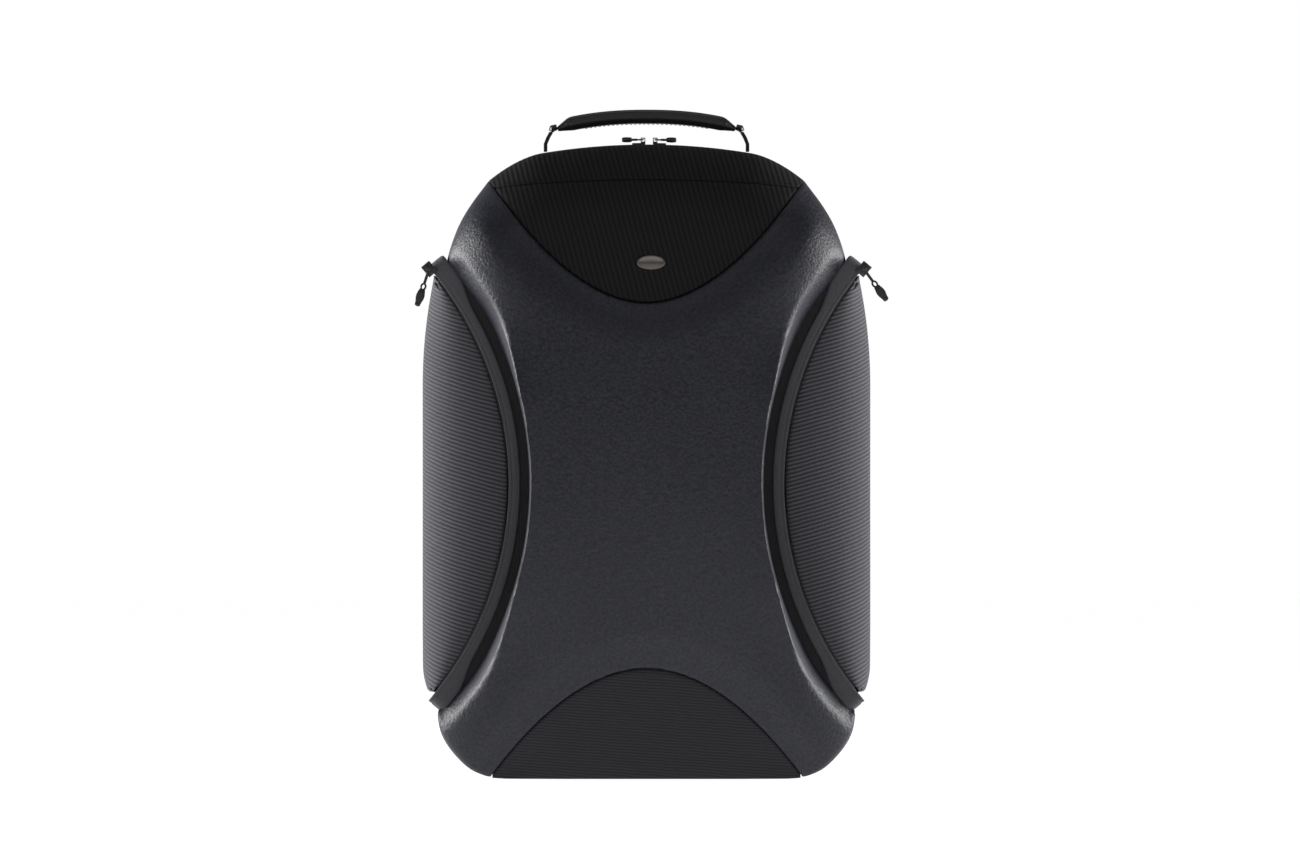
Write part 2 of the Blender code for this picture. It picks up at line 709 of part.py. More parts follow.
def slider_base():
    plate = box((-5 * MM, -4 * MM, 0.3 * MM), (5 * MM, 4 * MM, 2.2 * MM))
    post = box((-3 * MM, -0.4 * MM, -2.9 * MM), (3 * MM, 0.4 * MM, 1.0 * MM))
    return [plate, post]


def bridge_slider_mesh(inner):
    """Slider of the main zip: a bridge for the pull at its inner end (-1 or 1 along X), and a lip
    under the case half of the zip."""
    x = inner * MAIN_EYE_X
    bridge = box((x - 1.8 * MM, -0.9 * MM, 1.5 * MM), (x + 1.8 * MM, 0.9 * MM, 6.4 * MM))
    eye = box((x - 1.1 * MM, -2 * MM, 3.4 * MM), (x + 1.1 * MM, 2 * MM, 5.7 * MM))
    bridge = combined([bridge, eye], "DIFFERENCE")
    stem = box((-3 * MM, -0.4 * MM, -4.4 * MM), (3 * MM, 0.4 * MM, -2 * MM))
    lip = box((-3 * MM, -0.3 * MM, -4.4 * MM), (3 * MM, 3.6 * MM, -3.4 * MM))
    return combined(slider_base() + [bridge, stem, lip])


def pin_slider_mesh():
    """Slider of a pocket zip: a headed pin that its pull swivels on."""
    pin = bar(1.0 * MM, 1.5 * MM, 4.8 * MM)
    head = bar(2.0 * MM, 4.5 * MM, 5.4 * MM)
    return combined(slider_base() + [pin, head])


def link_mesh():
    """Wire loop with its crossbar through the slider's eye, at the origin, reaching to +X."""
    half = 2.3 * MM
    corners = [(0, -half), (MAIN_LINK_LENGTH, -half), (MAIN_LINK_LENGTH, half), (0, half)]
    rings = []
    for k, (x, y) in enumerate(corners):
        out = Vector((1 if x > 0 else -1, math.copysign(1, y), 0))
        ring = []
        for m in range(6):
            a = math.tau * m / 6
            ring.append(Vector((x, y, 0)) + out * WIRE * math.cos(a) + Vector((0, 0, WIRE * math.sin(a))))
        rings.append(ring)
    return rings_solid(rings, cap_ends=False)


def swivel_link_mesh():
    """Flat eye round the slider's pin, with an arm to the tab."""
    thick = 0.55 * MM
    eye = bar(2.7 * MM, -thick, thick)
    arm = box((1.5 * MM, -1.1 * MM, -0.9 * thick), (SIDE_LINK_LENGTH + WIRE, 1.1 * MM, 0.9 * thick))
    hole = bar(1.4 * MM, -2 * MM, 2 * MM)
    return combined([combined([eye, arm]), hole], "DIFFERENCE")


def tab_mesh(link_length, length, thickness):
    """Moulded tab that starts just past the link's outer end and narrows to its tip."""
    start = link_length + WIRE + GAP
    end = start + length
    points = [(start, 2.2 * MM), (start + 1.5 * MM, 3.1 * MM), (start + 6 * MM, 2.7 * MM),
              (end - 2 * MM, 3.6 * MM), (end - 0.6 * MM, 3.0 * MM), (end, 1.6 * MM)]
    points += [(x, -w) for x, w in reversed(points)]
    return rings_solid([[(x, y, z) for x, y in points] for z in (-thickness / 2, thickness / 2)])


def placed(mesh, at, travel, outward):
    """Turn a slider piece so that its X runs along travel and its Z points outward."""
    travel = Vector(travel).normalized()
    outward = Vector(outward).normalized()
    across = outward.cross(travel)
    turn = Matrix((travel, across, outward)).transposed().to_4x4()
    mesh.transform(Matrix.Translation(Vector(at)) @ turn)
    return mesh


def make_slider(name, slider, at, travel, outward, metal):
    """Slider at a track point."""
    add(name, placed(slider, at, travel, outward), metal, on=name)


def make_pull(prefix, word, link, tab, eye, pull, outward, metal, plastic):
    """Link and tab that point from a slider's eye along pull."""
    pull = Vector(pull).normalized()
    outward = (Vector(outward) - pull * pull.dot(Vector(outward))).normalized()
    joint = f"{prefix}_pull_{word}"
    add(f"{prefix}_link_{word}", placed(link, eye, pull, outward), metal, on=joint)
    add(f"{prefix}_pull_{word}", placed(tab, eye, pull, outward), plastic, on=joint)


def main_track(word):
    """Point, travel and outward direction of a main slider on the top of the case."""
    angle = math.asin(MAIN_SLIDER_X[word] / CASE_HEIGHT)
    outward = Vector((math.sin(angle), 0, math.cos(angle)))
    at = outward * CASE_HEIGHT + Vector((0, ZIP_Y, 0))
    return at, Vector((math.cos(angle), 0, -math.sin(angle))), outward


def main_eye(side, word):
    at, travel, outward = main_track(word)
    return at - travel * side * MAIN_EYE_X + outward * MAIN_EYE_HEIGHT


def side_track(side):
    x, z = arc_point(SEAM_ARC, PARK_ANGLE, side)
    at = Vector((x, ZIP_Y - BAND_DEPTH - 0.5 * MM, z))
    travel = Vector((side * math.sin(PARK_ANGLE), 0, math.cos(PARK_ANGLE)))
    return at, travel


PULL_STAND_OFF = math.radians(10)
SIDE_PULL_ANGLES = {"left": math.radians(18), "right": math.radians(36)}


def make_sliders(metal, plastic):
    for side, word in ((-1, "left"), (1, "right")):
        at, travel, outward = main_track(word)
        make_slider(f"main_slider_{word}", bridge_slider_mesh(-side), at, travel, outward, metal)
        tab = tab_mesh(MAIN_LINK_LENGTH, MAIN_TAB_LENGTH, MAIN_TAB_THICKNESS)
        make_pull("main", word, link_mesh(), tab, main_eye(side, word), travel * side, outward,
                  metal, plastic)
        at, travel = side_track(side)
        lean = SIDE_PULL_ANGLES[word]
        hang = Vector((side * math.sin(lean), -math.tan(PULL_STAND_OFF), -math.cos(lean)))
        outward = Vector((0, -1, 0))
        make_slider(f"side_slider_{word}", pin_slider_mesh(), at, travel, outward, metal)
        tab = tab_mesh(SIDE_LINK_LENGTH, SIDE_TAB_LENGTH, SIDE_TAB_THICKNESS)
        make_pull("side", word, swivel_link_mesh(), tab, at + outward * SIDE_EYE_HEIGHT, hang,
                  outward, metal, plastic)


# Carry handle

def make_handle(webbing, grip_mat, metal):
    for side, word in ((-1, "left"), (1, "right")):
        x = side * HANDLE_X
        slope = (top_z(HANDLE_X + MM) - top_z(HANDLE_X - MM)) / (2 * MM)
        rings = []
        for y in (HANDLE_Y - 11 * MM, HANDLE_Y + 11 * MM):
            ring = []
            for dx, lift in ((-9, 0.4), (9, 0.4), (9, 1.8), (-9, 1.8)):
                ring.append((x + side * dx * MM, y, top_z(HANDLE_X) + slope * dx * MM + lift * MM))
            rings.append(ring)
        add(f"handle_anchor_{word}", rings_solid(rings), webbing)

    for side, word in ((-1, "left"), (1, "right")):
        half = 1.4 * MM
        legs = [(HANDLE_X, HANDLE_PIVOT_Z - 3 * MM, 3.0), (HANDLE_X, HANDLE_PIVOT_Z + 3 * MM, 3.4),
                (HANDLE_X - 2 * MM, HANDLE_PIVOT_Z + 8 * MM, 6.5), (FERRULE_X, 497.5 * MM, 7.5)]
        rings = []
        for lx, z, reach in legs:
            y0, y1 = HANDLE_Y - reach * MM, HANDLE_Y + reach * MM
            corners = ((lx - half, y0), (lx + half, y0), (lx + half, y1), (lx - half, y1))
            rings.append([(side * cx, cy, z) for cx, cy in corners])
        add(f"handle_webbing_{word}", rings_solid(rings), webbing, on="handle")
        path = [(side * FERRULE_X, HANDLE_Y, 498.1 * MM),
                (side * (FERRULE_X - 0.8 * MM), HANDLE_Y, 500.4 * MM),
                (side * (FERRULE_X - 4.4 * MM), HANDLE_Y, 501.4 * MM)]
        add(f"handle_ferrule_{word}", tube(path, [2.4 * MM, 2.8 * MM, 2.4 * MM], 8, 2.8),
            metal, on="handle")

    half = GRIP_HALF_LENGTH
    path, radii = [], []
    for i in range(15):
        t = 2 * i / 14 - 1
        path.append((half * t, HANDLE_Y, GRIP_Z - GRIP_ARCH * abs(t) ** 2.3))
        radii.append((5.6 - 3.2 * abs(t) ** 8) * MM)
    add("handle_grip", tube(path, radii, 12, 1.45), grip_mat, on="handle", smooth=50)


# Back padding and straps

def make_back(pad_mat, strap_mat, webbing, plastic):
    y = BACK_Y + GAP
    for side, word in ((-1, "left"), (1, "right")):
        low = (min(side * 14, side * 92) * MM, y, 122 * MM)
        high = (max(side * 14, side * 92) * MM, y + 13 * MM, 392 * MM)
        rounded(add(f"back_pad_{word}", box(low, high), pad_mat), 6 * MM)
    rounded(add("lumbar_pad", box((-98 * MM, y, 40 * MM), (98 * MM, y + 17 * MM, 108 * MM)), pad_mat),
            7 * MM)
    yoke = box((-64 * MM, y, 400 * MM), (64 * MM, y + 5 * MM, 436 * MM))
    rounded(add("strap_yoke", yoke, webbing), 2 * MM)

    for side, word in ((-1, "left"), (1, "right")):
        points = [(36, 69.6, 428), (38, 78, 418), (46, 90, 385), (58, 96, 320), (72, 97, 250),
                  (84, 93, 190), (90, 88, 152)]
        route = smooth_path([(side * x * MM, yy * MM, z * MM) for x, yy, z in points], 3)
        strap = ribbon(route, (1, 0, 0), 58 * MM, 8 * MM)
        add(f"shoulder_strap_{word}", strap, strap_mat, smooth=40)
        lock_low = (min(side * 74, side * 108) * MM, 84 * MM, 128 * MM)
        lock_high = (max(side * 74, side * 108) * MM, 90 * MM, 150 * MM)
        rounded(add(f"ladder_lock_{word}", box(lock_low, lock_high), plastic), 1.5 * MM, 1)
        tail = [(91, 87, 127.4), (100, 85, 108), (115, 78, 78), (128, 62.6, 44)]
        route = smooth_path([(side * x * MM, yy * MM, z * MM) for x, yy, z in tail], 3)
        add(f"lower_webbing_{word}", ribbon(route, (1, 0, 0), 25 * MM, 1.8 * MM), webbing)


def make_pivots():
    pivot("case", (0, 0, 0))
    pivot("lid", (0, ZIP_Y, 0), "case")
    pivot("handle", (0, HANDLE_Y, HANDLE_PIVOT_Z), "case")
    for side, word in ((-1, "left"), (1, "right")):
        pivot(f"cover_{word}", (side * (COVER_X - 0.4 * MM), ZIP_Y - RIM + 0.5 * MM, ARC_Z), "lid")
        pivot(f"main_slider_{word}", (0, ZIP_Y, 0), "case")
        pivot(f"main_pull_{word}", main_eye(side, word), f"main_slider_{word}")
        pivot(f"side_slider_{word}", (side * ARC_X, ZIP_Y - BAND_DEPTH, ARC_Z), "lid")
        at, _ = side_track(side)
        pivot(f"side_pull_{word}", at + Vector((0, -SIDE_EYE_HEIGHT, 0)), f"side_slider_{word}")


def build():
    clear_scene()
    make_pivots()
    shell = material("moulded_shell", (0.032, 0.033, 0.040), 0.55)
    mesh_fabric = material("panel_mesh", (0.012, 0.012, 0.013), 0.9)
    side_mesh = material("side_mesh", (0.045, 0.045, 0.050), 0.9)
    tape = material("zip_tape", (0.020, 0.020, 0.022), 0.8)
    webbing = material("webbing", (0.018, 0.018, 0.020), 0.85)
    lining = material("lining", (0.05, 0.05, 0.055), 0.9)
    foam = material("foam", (0.06, 0.06, 0.065), 0.95)
    divider = material("divider_fabric", (0.10, 0.10, 0.11), 0.9)
    rubber = material("grip_rubber", (0.012, 0.012, 0.013), 0.5)
    plastic = material("black_plastic", (0.015, 0.015, 0.016), 0.4)
    metal = material("dark_metal", (0.06, 0.06, 0.065), 0.35, 0.9)
    badge = material("badge_metal", (0.30, 0.27, 0.25), 0.3, 1.0)

    make_rear_tub(shell)
    make_back_sheets(plastic, foam)
    make_foam(foam, divider)
    make_main_zip(tape, webbing)
    make_front_shell(shell)
    make_panels(mesh_fabric, badge)
    for side, word in ((-1, "left"), (1, "right")):
        make_pocket(side, word, side_mesh, tape, lining)
    make_sliders(metal, plastic)
    make_handle(webbing, rubber, metal)
    make_back(side_mesh, side_mesh, webbing, plastic)


build()
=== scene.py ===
"""Looks of the hard-shell drone backpack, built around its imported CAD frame.

Everything is in metres in the CAD frame: +Z up, the front faces -Y, and depths in the lid are
measured forward from the zip plane y = ZIP_Y.
"""

import json
import math

import bmesh
import bpy
import numpy as np
from mathutils import Matrix, Vector


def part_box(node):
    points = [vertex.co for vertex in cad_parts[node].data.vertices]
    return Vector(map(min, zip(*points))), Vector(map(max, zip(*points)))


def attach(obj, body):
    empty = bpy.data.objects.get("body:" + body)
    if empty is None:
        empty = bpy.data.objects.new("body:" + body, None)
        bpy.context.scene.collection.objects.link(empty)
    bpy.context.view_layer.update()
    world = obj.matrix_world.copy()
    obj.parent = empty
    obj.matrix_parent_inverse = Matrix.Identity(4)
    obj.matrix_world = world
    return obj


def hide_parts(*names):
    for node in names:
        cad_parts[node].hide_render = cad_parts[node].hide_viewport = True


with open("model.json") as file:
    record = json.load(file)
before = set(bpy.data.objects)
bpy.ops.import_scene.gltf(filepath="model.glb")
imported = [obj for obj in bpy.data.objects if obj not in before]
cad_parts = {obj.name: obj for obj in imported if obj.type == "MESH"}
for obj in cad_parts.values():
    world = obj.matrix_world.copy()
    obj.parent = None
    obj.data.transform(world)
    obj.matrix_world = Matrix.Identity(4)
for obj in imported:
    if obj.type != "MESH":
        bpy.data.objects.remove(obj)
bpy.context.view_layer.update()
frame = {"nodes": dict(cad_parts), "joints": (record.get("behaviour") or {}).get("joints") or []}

MM = 0.001
JOINTS = {joint["name"]: joint for joint in frame["joints"]}
SIDES = ((-1, "left"), (1, "right"))

# Sizes read from the frame
TUB_LOW, TUB_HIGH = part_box("rear_tub")
CASE_HEIGHT = TUB_HIGH.z
BACK_Y = TUB_HIGH.y
ZIP_Y = JOINTS["lid_open"]["pos_m"][1]
ARC_X = abs(JOINTS["side_slider_left_travel"]["pos_m"][0])
ARC_Z = JOINTS["side_slider_left_travel"]["pos_m"][2]
BAND_DEPTH = ZIP_Y - JOINTS["side_slider_left_travel"]["pos_m"][1]
RIM = TUB_LOW.y - ZIP_Y
FOOT_Y = ZIP_Y - RIM
HANDLE_Y = JOINTS["handle_fold"]["pos_m"][1]

# Shape of the case, as in the CAD
SHOULDER_X = 121 * MM
TOP_ARC_X = 80 * MM
TOP_FALL = 12.7 * MM
SHOULDER_Z = math.sqrt(CASE_HEIGHT ** 2 - SHOULDER_X ** 2) - TOP_FALL
SIDE_POINTS = [
    (108 * MM, 0.0), (121 * MM, 1.6 * MM), (138 * MM, 10 * MM), (155 * MM, 31 * MM),
    (160 * MM, 56 * MM), (163 * MM, 110 * MM), (163 * MM, 230 * MM), (159 * MM, 340 * MM),
    (153.5 * MM, 388 * MM), (146 * MM, 416 * MM), (136 * MM, 436 * MM), (SHOULDER_X, SHOULDER_Z),
]
CROWN_DEPTH = 118 * MM
CROWN_Z = 230 * MM
CROWN_FALL_LOW = 46 * MM
CROWN_FALL_HIGH = 28 * MM
SIDE_WALL_DEPTH = 60 * MM
TOP_WALL_DEPTH = 28 * MM
WALL_FADE_Z = 380 * MM
WALL_FADE = 90 * MM
EDGE_ROUNDING = 52 * MM
LEDGE_WIDTH = 4 * MM
CREASE_SOFTNESS = 0.18
V_TIP_Z = 362 * MM
V_RISE = SHOULDER_Z - V_TIP_Z
LENS_TOP_Z = 85.5 * MM
LENS_HALF_WIDTH = 119 * MM
SEAM_Z = 456.5 * MM
SEAM_SAG = 6.5 * MM
PANEL_RECESS = 2.5 * MM
V_DIP = 8 * MM
LENS_DIP = 5 * MM
DIP_WIDTH = 30 * MM
SKIN = 3.5 * MM
SHELL_ARC = 265 * MM
ARC_LOW_Z = 54.5 * MM
ARC_HIGH_Z = 388 * MM
SEAM_ARC = 253 * MM
BAND_ARC = SEAM_ARC + 0.9 * MM
POCKET_ANGLE = math.radians(38.6)
COVER_X = 171.6 * MM
# Where the pocket covers and the welts end on the zip arc, a little off the CAD's ends
COVER_ANGLE = math.radians(39.0)
BAND_ANGLE = math.radians(40.6)
# Where the thread runs across the welt, in millimetres
STITCH_LINE = 2.3

# Shoulder of the shell beside the pockets: "aside" is the distance above or below their middle
LOW_SHIFT = 14 * MM
LEDGE_SINK = 1 * MM
LEDGE_END = 120 * MM
SOFT_WIDTH = 45 * MM
CORNER_START = 60 * MM
CORNER_RUN = 110 * MM
WAIST_DROP = 2.2 * MM
CORNER_DROP = 10 * MM
CORNER_EASE = 0.42
LIP_DEPTH = 2.2 * MM
LIP_WIDTH = 3.5 * MM
# Stretches of the shell's columns in from the side: from, to and number of columns
COLUMN_GATHERING = ((0, 3.4, 5), (3.4, 6.8, 15), (6.8, 14, 9), (14, 94, 31))

# View of the photo, across the zip plane
VIEW_WIDTH = 1.0023
CAMERA_X = 2.7 * MM
CAMERA_Z = 263.3 * MM


# Curves and surfaces of the case

def smoothstep(t):
    t = np.clip(t, 0, 1)
    return t * t * (3 - 2 * t)


def round_over(t):
    """Quarter circle rising from 0 at t = 0 to 1 at t = 1."""
    t = np.clip(t, 0, 1)
    return np.sqrt(1 - (1 - t) ** 2)


def chamfer(t):
    """Straight rise from 0 at t = 0 to a soft crease at t = 1, then level at 1."""
    t = np.clip(t, 0, 1 + CREASE_SOFTNESS)
    over = np.maximum(0, t - 1 + CREASE_SOFTNESS)
    return t - over * over / (4 * CREASE_SOFTNESS)


def smooth_path(points, steps):
    """Catmull-Rom curve through points, with so many steps between two of them."""
    pts = [np.array(p, dtype=float) for p in points]
    pts = [2 * pts[0] - pts[1]] + pts + [2 * pts[-1] - pts[-2]]
    path = []
    for a, b, c, d in zip(pts, pts[1:], pts[2:], pts[3:]):
        for k in range(steps):
            t = k / steps
            path.append(0.5 * (2 * b + (c - a) * t + (2 * a - 5 * b + 4 * c - d) * t ** 2
                               + (3 * b - a - 3 * c + d) * t ** 3))
    path.append(pts[-2])
    return np.array(path)


def spaced(path, count):
    """The same path with count points at equal distances along it."""
    path = np.array(path)
    steps = np.linalg.norm(np.diff(path, axis=0), axis=1)
    along = np.concatenate([[0], np.cumsum(steps)])
    wanted = np.linspace(0, along[-1], count)
    return np.stack([np.interp(wanted, along, path[:, k]) for k in range(path.shape[1])], axis=1)


def path_length(path):
    return float(np.linalg.norm(np.diff(np.array(path), axis=0), axis=1).sum())


def top_z(x):
    x = np.minimum(np.abs(x), SHOULDER_X)
    beyond = np.maximum(0.0, x - TOP_ARC_X) / (SHOULDER_X - TOP_ARC_X)
    return np.sqrt(CASE_HEIGHT ** 2 - x ** 2) - TOP_FALL * beyond ** 1.8


def v_edge_z(x):
    return V_TIP_Z + V_RISE * (np.abs(x) / SHOULDER_X) ** 1.9


def lens_edge_z(x):
    return LENS_TOP_Z - (LENS_TOP_Z - 1.5 * MM) * (np.abs(x) / LENS_HALF_WIDTH) ** 1.94


def seam_z(x):
    return SEAM_Z - SEAM_SAG * (x / SHOULDER_X) ** 2


SIDE = smooth_path(SIDE_POINTS, 8)
TOP_X = np.linspace(SHOULDER_X, 0, 30)[1:]
EDGE = np.concatenate([SIDE, np.stack([TOP_X, top_z(TOP_X)], axis=1)])
V_EDGE = np.array([(x, v_edge_z(x)) for x in np.linspace(0, SHOULDER_X, 60)])
LENS_EDGE = np.array([(x, lens_edge_z(x)) for x in np.linspace(0, LENS_HALF_WIDTH, 60)])


def bottom_z(x):
    corner = SIDE[:18]
    return np.interp(np.abs(x), corner[:, 0], corner[:, 1], left=0.0)


def nearest(line, x, z):
    """Distance from each (|x|, z) to a polyline, and the direction towards it."""
    x = np.asarray(x, dtype=float)
    p = np.stack([np.abs(x), np.asarray(z, dtype=float)], axis=-1)[..., None, :]
    a = line[:-1]
    span = line[1:] - a
    t = np.clip(((p - a) * span).sum(axis=-1) / (span ** 2).sum(axis=-1), 0, 1)
    foot = a + span * t[..., None]
    gaps = np.linalg.norm(foot - p, axis=-1)
    pick = gaps.argmin(axis=-1)
    gap = np.take_along_axis(gaps, pick[..., None], axis=-1)[..., 0]
    normal = np.stack([span[:, 1], -span[:, 0]], axis=1)
    normal /= np.linalg.norm(normal, axis=1)[:, None]
    away = normal[pick]
    away = away * np.stack([np.where(x < 0, -1.0, 1.0), np.ones_like(x)], axis=-1)
    return gap, away


def case_outline(inset, count, low_x=None):
    """Right side, top and left side of the case, from one bottom corner to the other."""
    source = EDGE if low_x is None else EDGE[(EDGE[:, 0] >= low_x) | (EDGE[:, 1] > 5 * MM)]
    path = spaced(source, count)
    tangents = np.gradient(path, axis=0)
    normals = np.stack([tangents[:, 1], -tangents[:, 0]], axis=1)
    normals /= np.linalg.norm(normals, axis=1)[:, None]
    normals[-1] = (0, 1)
    path = path - normals * inset
    return np.concatenate([path, path[-2::-1] * np.array((-1, 1))])


def lid_depth(x, z):
    gap, _ = nearest(EDGE, x, z)
    fall = np.where(z > CROWN_Z, CROWN_FALL_HIGH, CROWN_FALL_LOW)
    crown = CROWN_DEPTH - fall * ((z - CROWN_Z) / CROWN_Z) ** 2
    wall = SIDE_WALL_DEPTH + (TOP_WALL_DEPTH - SIDE_WALL_DEPTH) * smoothstep(
        (z - WALL_FADE_Z) / WALL_FADE)
    return wall + (crown - wall) * round_over(gap / EDGE_ROUNDING)


def panel_dip(x, z):
    gap, _ = nearest(EDGE, x, z)
    to_v = np.where(z > v_edge_z(x), 0.0, nearest(V_EDGE, x, z)[0])
    to_lens = np.where(z < lens_edge_z(x), 0.0, nearest(LENS_EDGE, x, z)[0])
    dip = V_DIP * (1 - smoothstep(to_v / DIP_WIDTH))
    dip = dip + LENS_DIP * (1 - smoothstep(to_lens / DIP_WIDTH))
    return dip * round_over(gap / DIP_WIDTH)


def shell_depth(x, z):
    """Depth of the front shell: the lid's, with a ledge and a shoulder beside the pockets."""
    depth = lid_depth(x, z) - panel_dip(x, z)
    aside = np.where(z > ARC_Z, z - ARC_Z, ARC_Z - z - LOW_SHIFT)
    foot = SHELL_ARC + LEDGE_WIDTH * (1 - smoothstep((aside - LEDGE_END) / SOFT_WIDTH))
    beside = np.hypot(ARC_X - np.abs(x), z - ARC_Z) - foot
    ledge = BAND_DEPTH - LEDGE_SINK
    # The shoulder is broad at the corners and drops almost straight at the waist
    corner = smoothstep((aside - CORNER_START) / CORNER_RUN)
    rise = chamfer(beside / (WAIST_DROP + CORNER_DROP * corner))
    rise = rise * (1 - CORNER_EASE * corner * np.clip(1 - beside / SOFT_WIDTH, 0, 1) ** 2)
    depth = np.where(depth > ledge, ledge + (depth - ledge) * rise, depth)
    # Small rounded lip along the V and lens shaped edges
    for line in (V_EDGE, LENS_EDGE):
        depth = depth - LIP_DEPTH * (1 - round_over(nearest(line, x, z)[0] / LIP_WIDTH))
    return depth


def panel_depth(x, z):
    gap, _ = nearest(EDGE, x, z)
    return lid_depth(x, z) - panel_dip(x, z) - PANEL_RECESS * round_over(gap / DIP_WIDTH)


def inner_xz(x, z):
    """Where the inside of the lid's skin is: pulled in from the case's edge and from the pockets."""
    gap, away = nearest(EDGE, x, z)
    shift = away * (SKIN * np.clip(1 - gap / (12 * MM), 0, 1))[..., None]
    side = np.where(x < 0, -1.0, 1.0)
    to_arc = np.stack([(ARC_X - np.abs(x)) * side, ARC_Z - z], axis=-1)
    reach = np.linalg.norm(to_arc, axis=-1)
    near = SKIN * np.clip(1 - (reach - SHELL_ARC) / (12 * MM), 0, 1)
    shift = shift + to_arc / reach[..., None] * near[..., None]
    return x - shift[..., 0], z - shift[..., 1]


def lid_points(x, z, depth):
    """Points of the lid, at depths in front of the zip plane."""
    return np.stack(np.broadcast_arrays(x, ZIP_Y - depth, z), axis=-1)


def arc_point(radius, angle, side):
    """(x, z) on a circle about the centre of a pocket's zip arc."""
    return side * (ARC_X - radius * np.cos(angle)), ARC_Z + radius * np.sin(angle)


def cover_edge_x(z):
    """Outermost x of a pocket cover, which draws in towards both of its ends."""
    x = COVER_X - 10 * MM * (np.maximum(0.0, z - 300 * MM) / (90 * MM)) ** 2
    return x - 3.6 * MM * (np.maximum(0.0, 85 * MM - z) / (19 * MM)) ** 2


# Mesh helpers

def linked(name, data):
    """New object in the scene for a mesh, a light or a camera."""
    item = bpy.data.objects.new(name, data)
    bpy.context.scene.collection.objects.link(item)
    return item


def made_mesh(name, bm, mats):
    """Mesh of a finished bmesh, with its materials."""
    mesh = bpy.data.meshes.new(name)
    bm.to_mesh(mesh)
    bm.free()
    for mat in mats:
        mesh.materials.append(mat)
    return mesh


def mesh_object(name, verts, faces, mat, sharp=None, inside=None, is_inside=()):
    """Object from points and faces; faces flagged in is_inside take the second material."""
    mesh = bpy.data.meshes.new(name)
    mesh.from_pydata([tuple(v) for v in verts], [], faces)
    if inside is not None:
        mesh.polygons.foreach_set("material_index", [int(flag) for flag in is_inside])
    bm = bmesh.new()
    bm.from_mesh(mesh)
    bmesh.ops.remove_doubles(bm, verts=bm.verts, dist=1e-7)
    bmesh.ops.recalc_face_normals(bm, faces=bm.faces)
    bm.to_mesh(mesh)
    bm.free()
    for each in (mat, inside):
        if each is not None:
            mesh.materials.append(each)
    mesh.shade_smooth()
    if sharp:
        mesh.set_sharp_from_angle(angle=math.radians(sharp))
    return linked(name, mesh)


def thick_sheet(name, outer, inner, mat, sharp=50, inside=None):
    """Closed solid between two grids of points with the same rows and columns."""
    outer, inner = np.array(outer), np.array(inner)
    rows, cols = outer.shape[:2]
    back = rows * cols
    index = np.arange(back).reshape(rows, cols).tolist()
    faces = []
    for low, high in zip(index, index[1:]):
        for a, b, c, d in zip(low, low[1:], high[1:], high):
            faces += [(a, b, c, d), (back + d, back + c, back + b, back + a)]
    flags = [k % 2 == 1 for k in range(len(faces))]
    border = index[0] + [row[-1] for row in index[1:]] + index[-1][-2::-1]
    border += [row[0] for row in index[-2:0:-1]]
    faces += [(a, back + a, back + b, b) for a, b in zip(border, border[1:] + border[:1])]
    flags += [False] * len(border)
    verts = np.concatenate([outer.reshape(-1, 3), inner.reshape(-1, 3)])
    return mesh_object(name, verts, faces, mat, sharp=sharp, inside=inside, is_inside=flags)


def tube_faces(count, around, base=0, closed=False):
    """Quads between rings of points that are numbered one ring after the other."""
    faces = []
    for i in range(count if closed else count - 1):
        a, b = base + i * around, base + (i + 1) % count * around
        faces += [(a + k, a + (k + 1) % around, b + (k + 1) % around, b + k) for k in range(around)]
    return faces


def swept(name, rings, mat, closed=False, sharp=50):
    """Skin over a row of closed rings of points, capped at both ends unless it closes on itself."""
    rings = np.array(rings)
    count, around = rings.shape[:2]
    faces = tube_faces(count, around, closed=closed)
    if not closed:
        faces += [tuple(range(around)), tuple(range((count - 1) * around, count * around))]
    return mesh_object(name, rings.reshape(-1, 3), faces, mat, sharp=sharp)


def frames_along(path, up_hint):
    """Tangent, side and up unit vectors at each point of a path."""
    path = [Vector(p) for p in path]
    found = []
    for i in range(len(path)):
        ahead = (path[min(i + 1, len(path) - 1)] - path[max(i - 1, 0)]).normalized()
        hint = Vector(up_hint[i]) if hasattr(up_hint[0], "__len__") else Vector(up_hint)
        side = ahead.cross(hint).normalized()
        found.append((ahead, side, side.cross(ahead).normalized()))
    return found


def sweep_profile(name, path, profile, up_hint, mat, closed=False, sharp=50):
    """Sweep a closed (side, up) profile along a path."""
    rings = [[Vector(point) + side * a + up * b for a, b in profile]
             for point, (_, side, up) in zip(path, frames_along(path, up_hint))]
    return swept(name, rings, mat, closed=closed, sharp=sharp)


def circle(count):
    """(cos, sin) pairs at equal steps round a circle."""
    return [(math.cos(math.tau * k / count), math.sin(math.tau * k / count)) for k in range(count)]


def oval(width, height, count, power=2.0):
    """Closed profile between an oval and a rounded rectangle, as (side, up) pairs."""
    return [(math.copysign(abs(c) ** (2 / power), c) * width / 2,
             math.copysign(abs(s) ** (2 / power), s) * height / 2) for c, s in circle(count)]


def bevelled(item, width):
    """Round the sharp edges of a mesh, and keep the result in the mesh."""
    bevel = item.modifiers.new("Bevel", "BEVEL")
    bevel.width = width
    bevel.segments = 3
    bevel.limit_method = "ANGLE"
    bevel.angle_limit = math.radians(28)
    return applied(item)


def applied(item):
    """Replace an object's mesh by the mesh its modifiers make."""
    graph = bpy.context.evaluated_depsgraph_get()
    graph.update()
    mesh = bpy.data.meshes.new_from_object(item.evaluated_get(graph))
    item.modifiers.clear()
    item.data = mesh
    return item


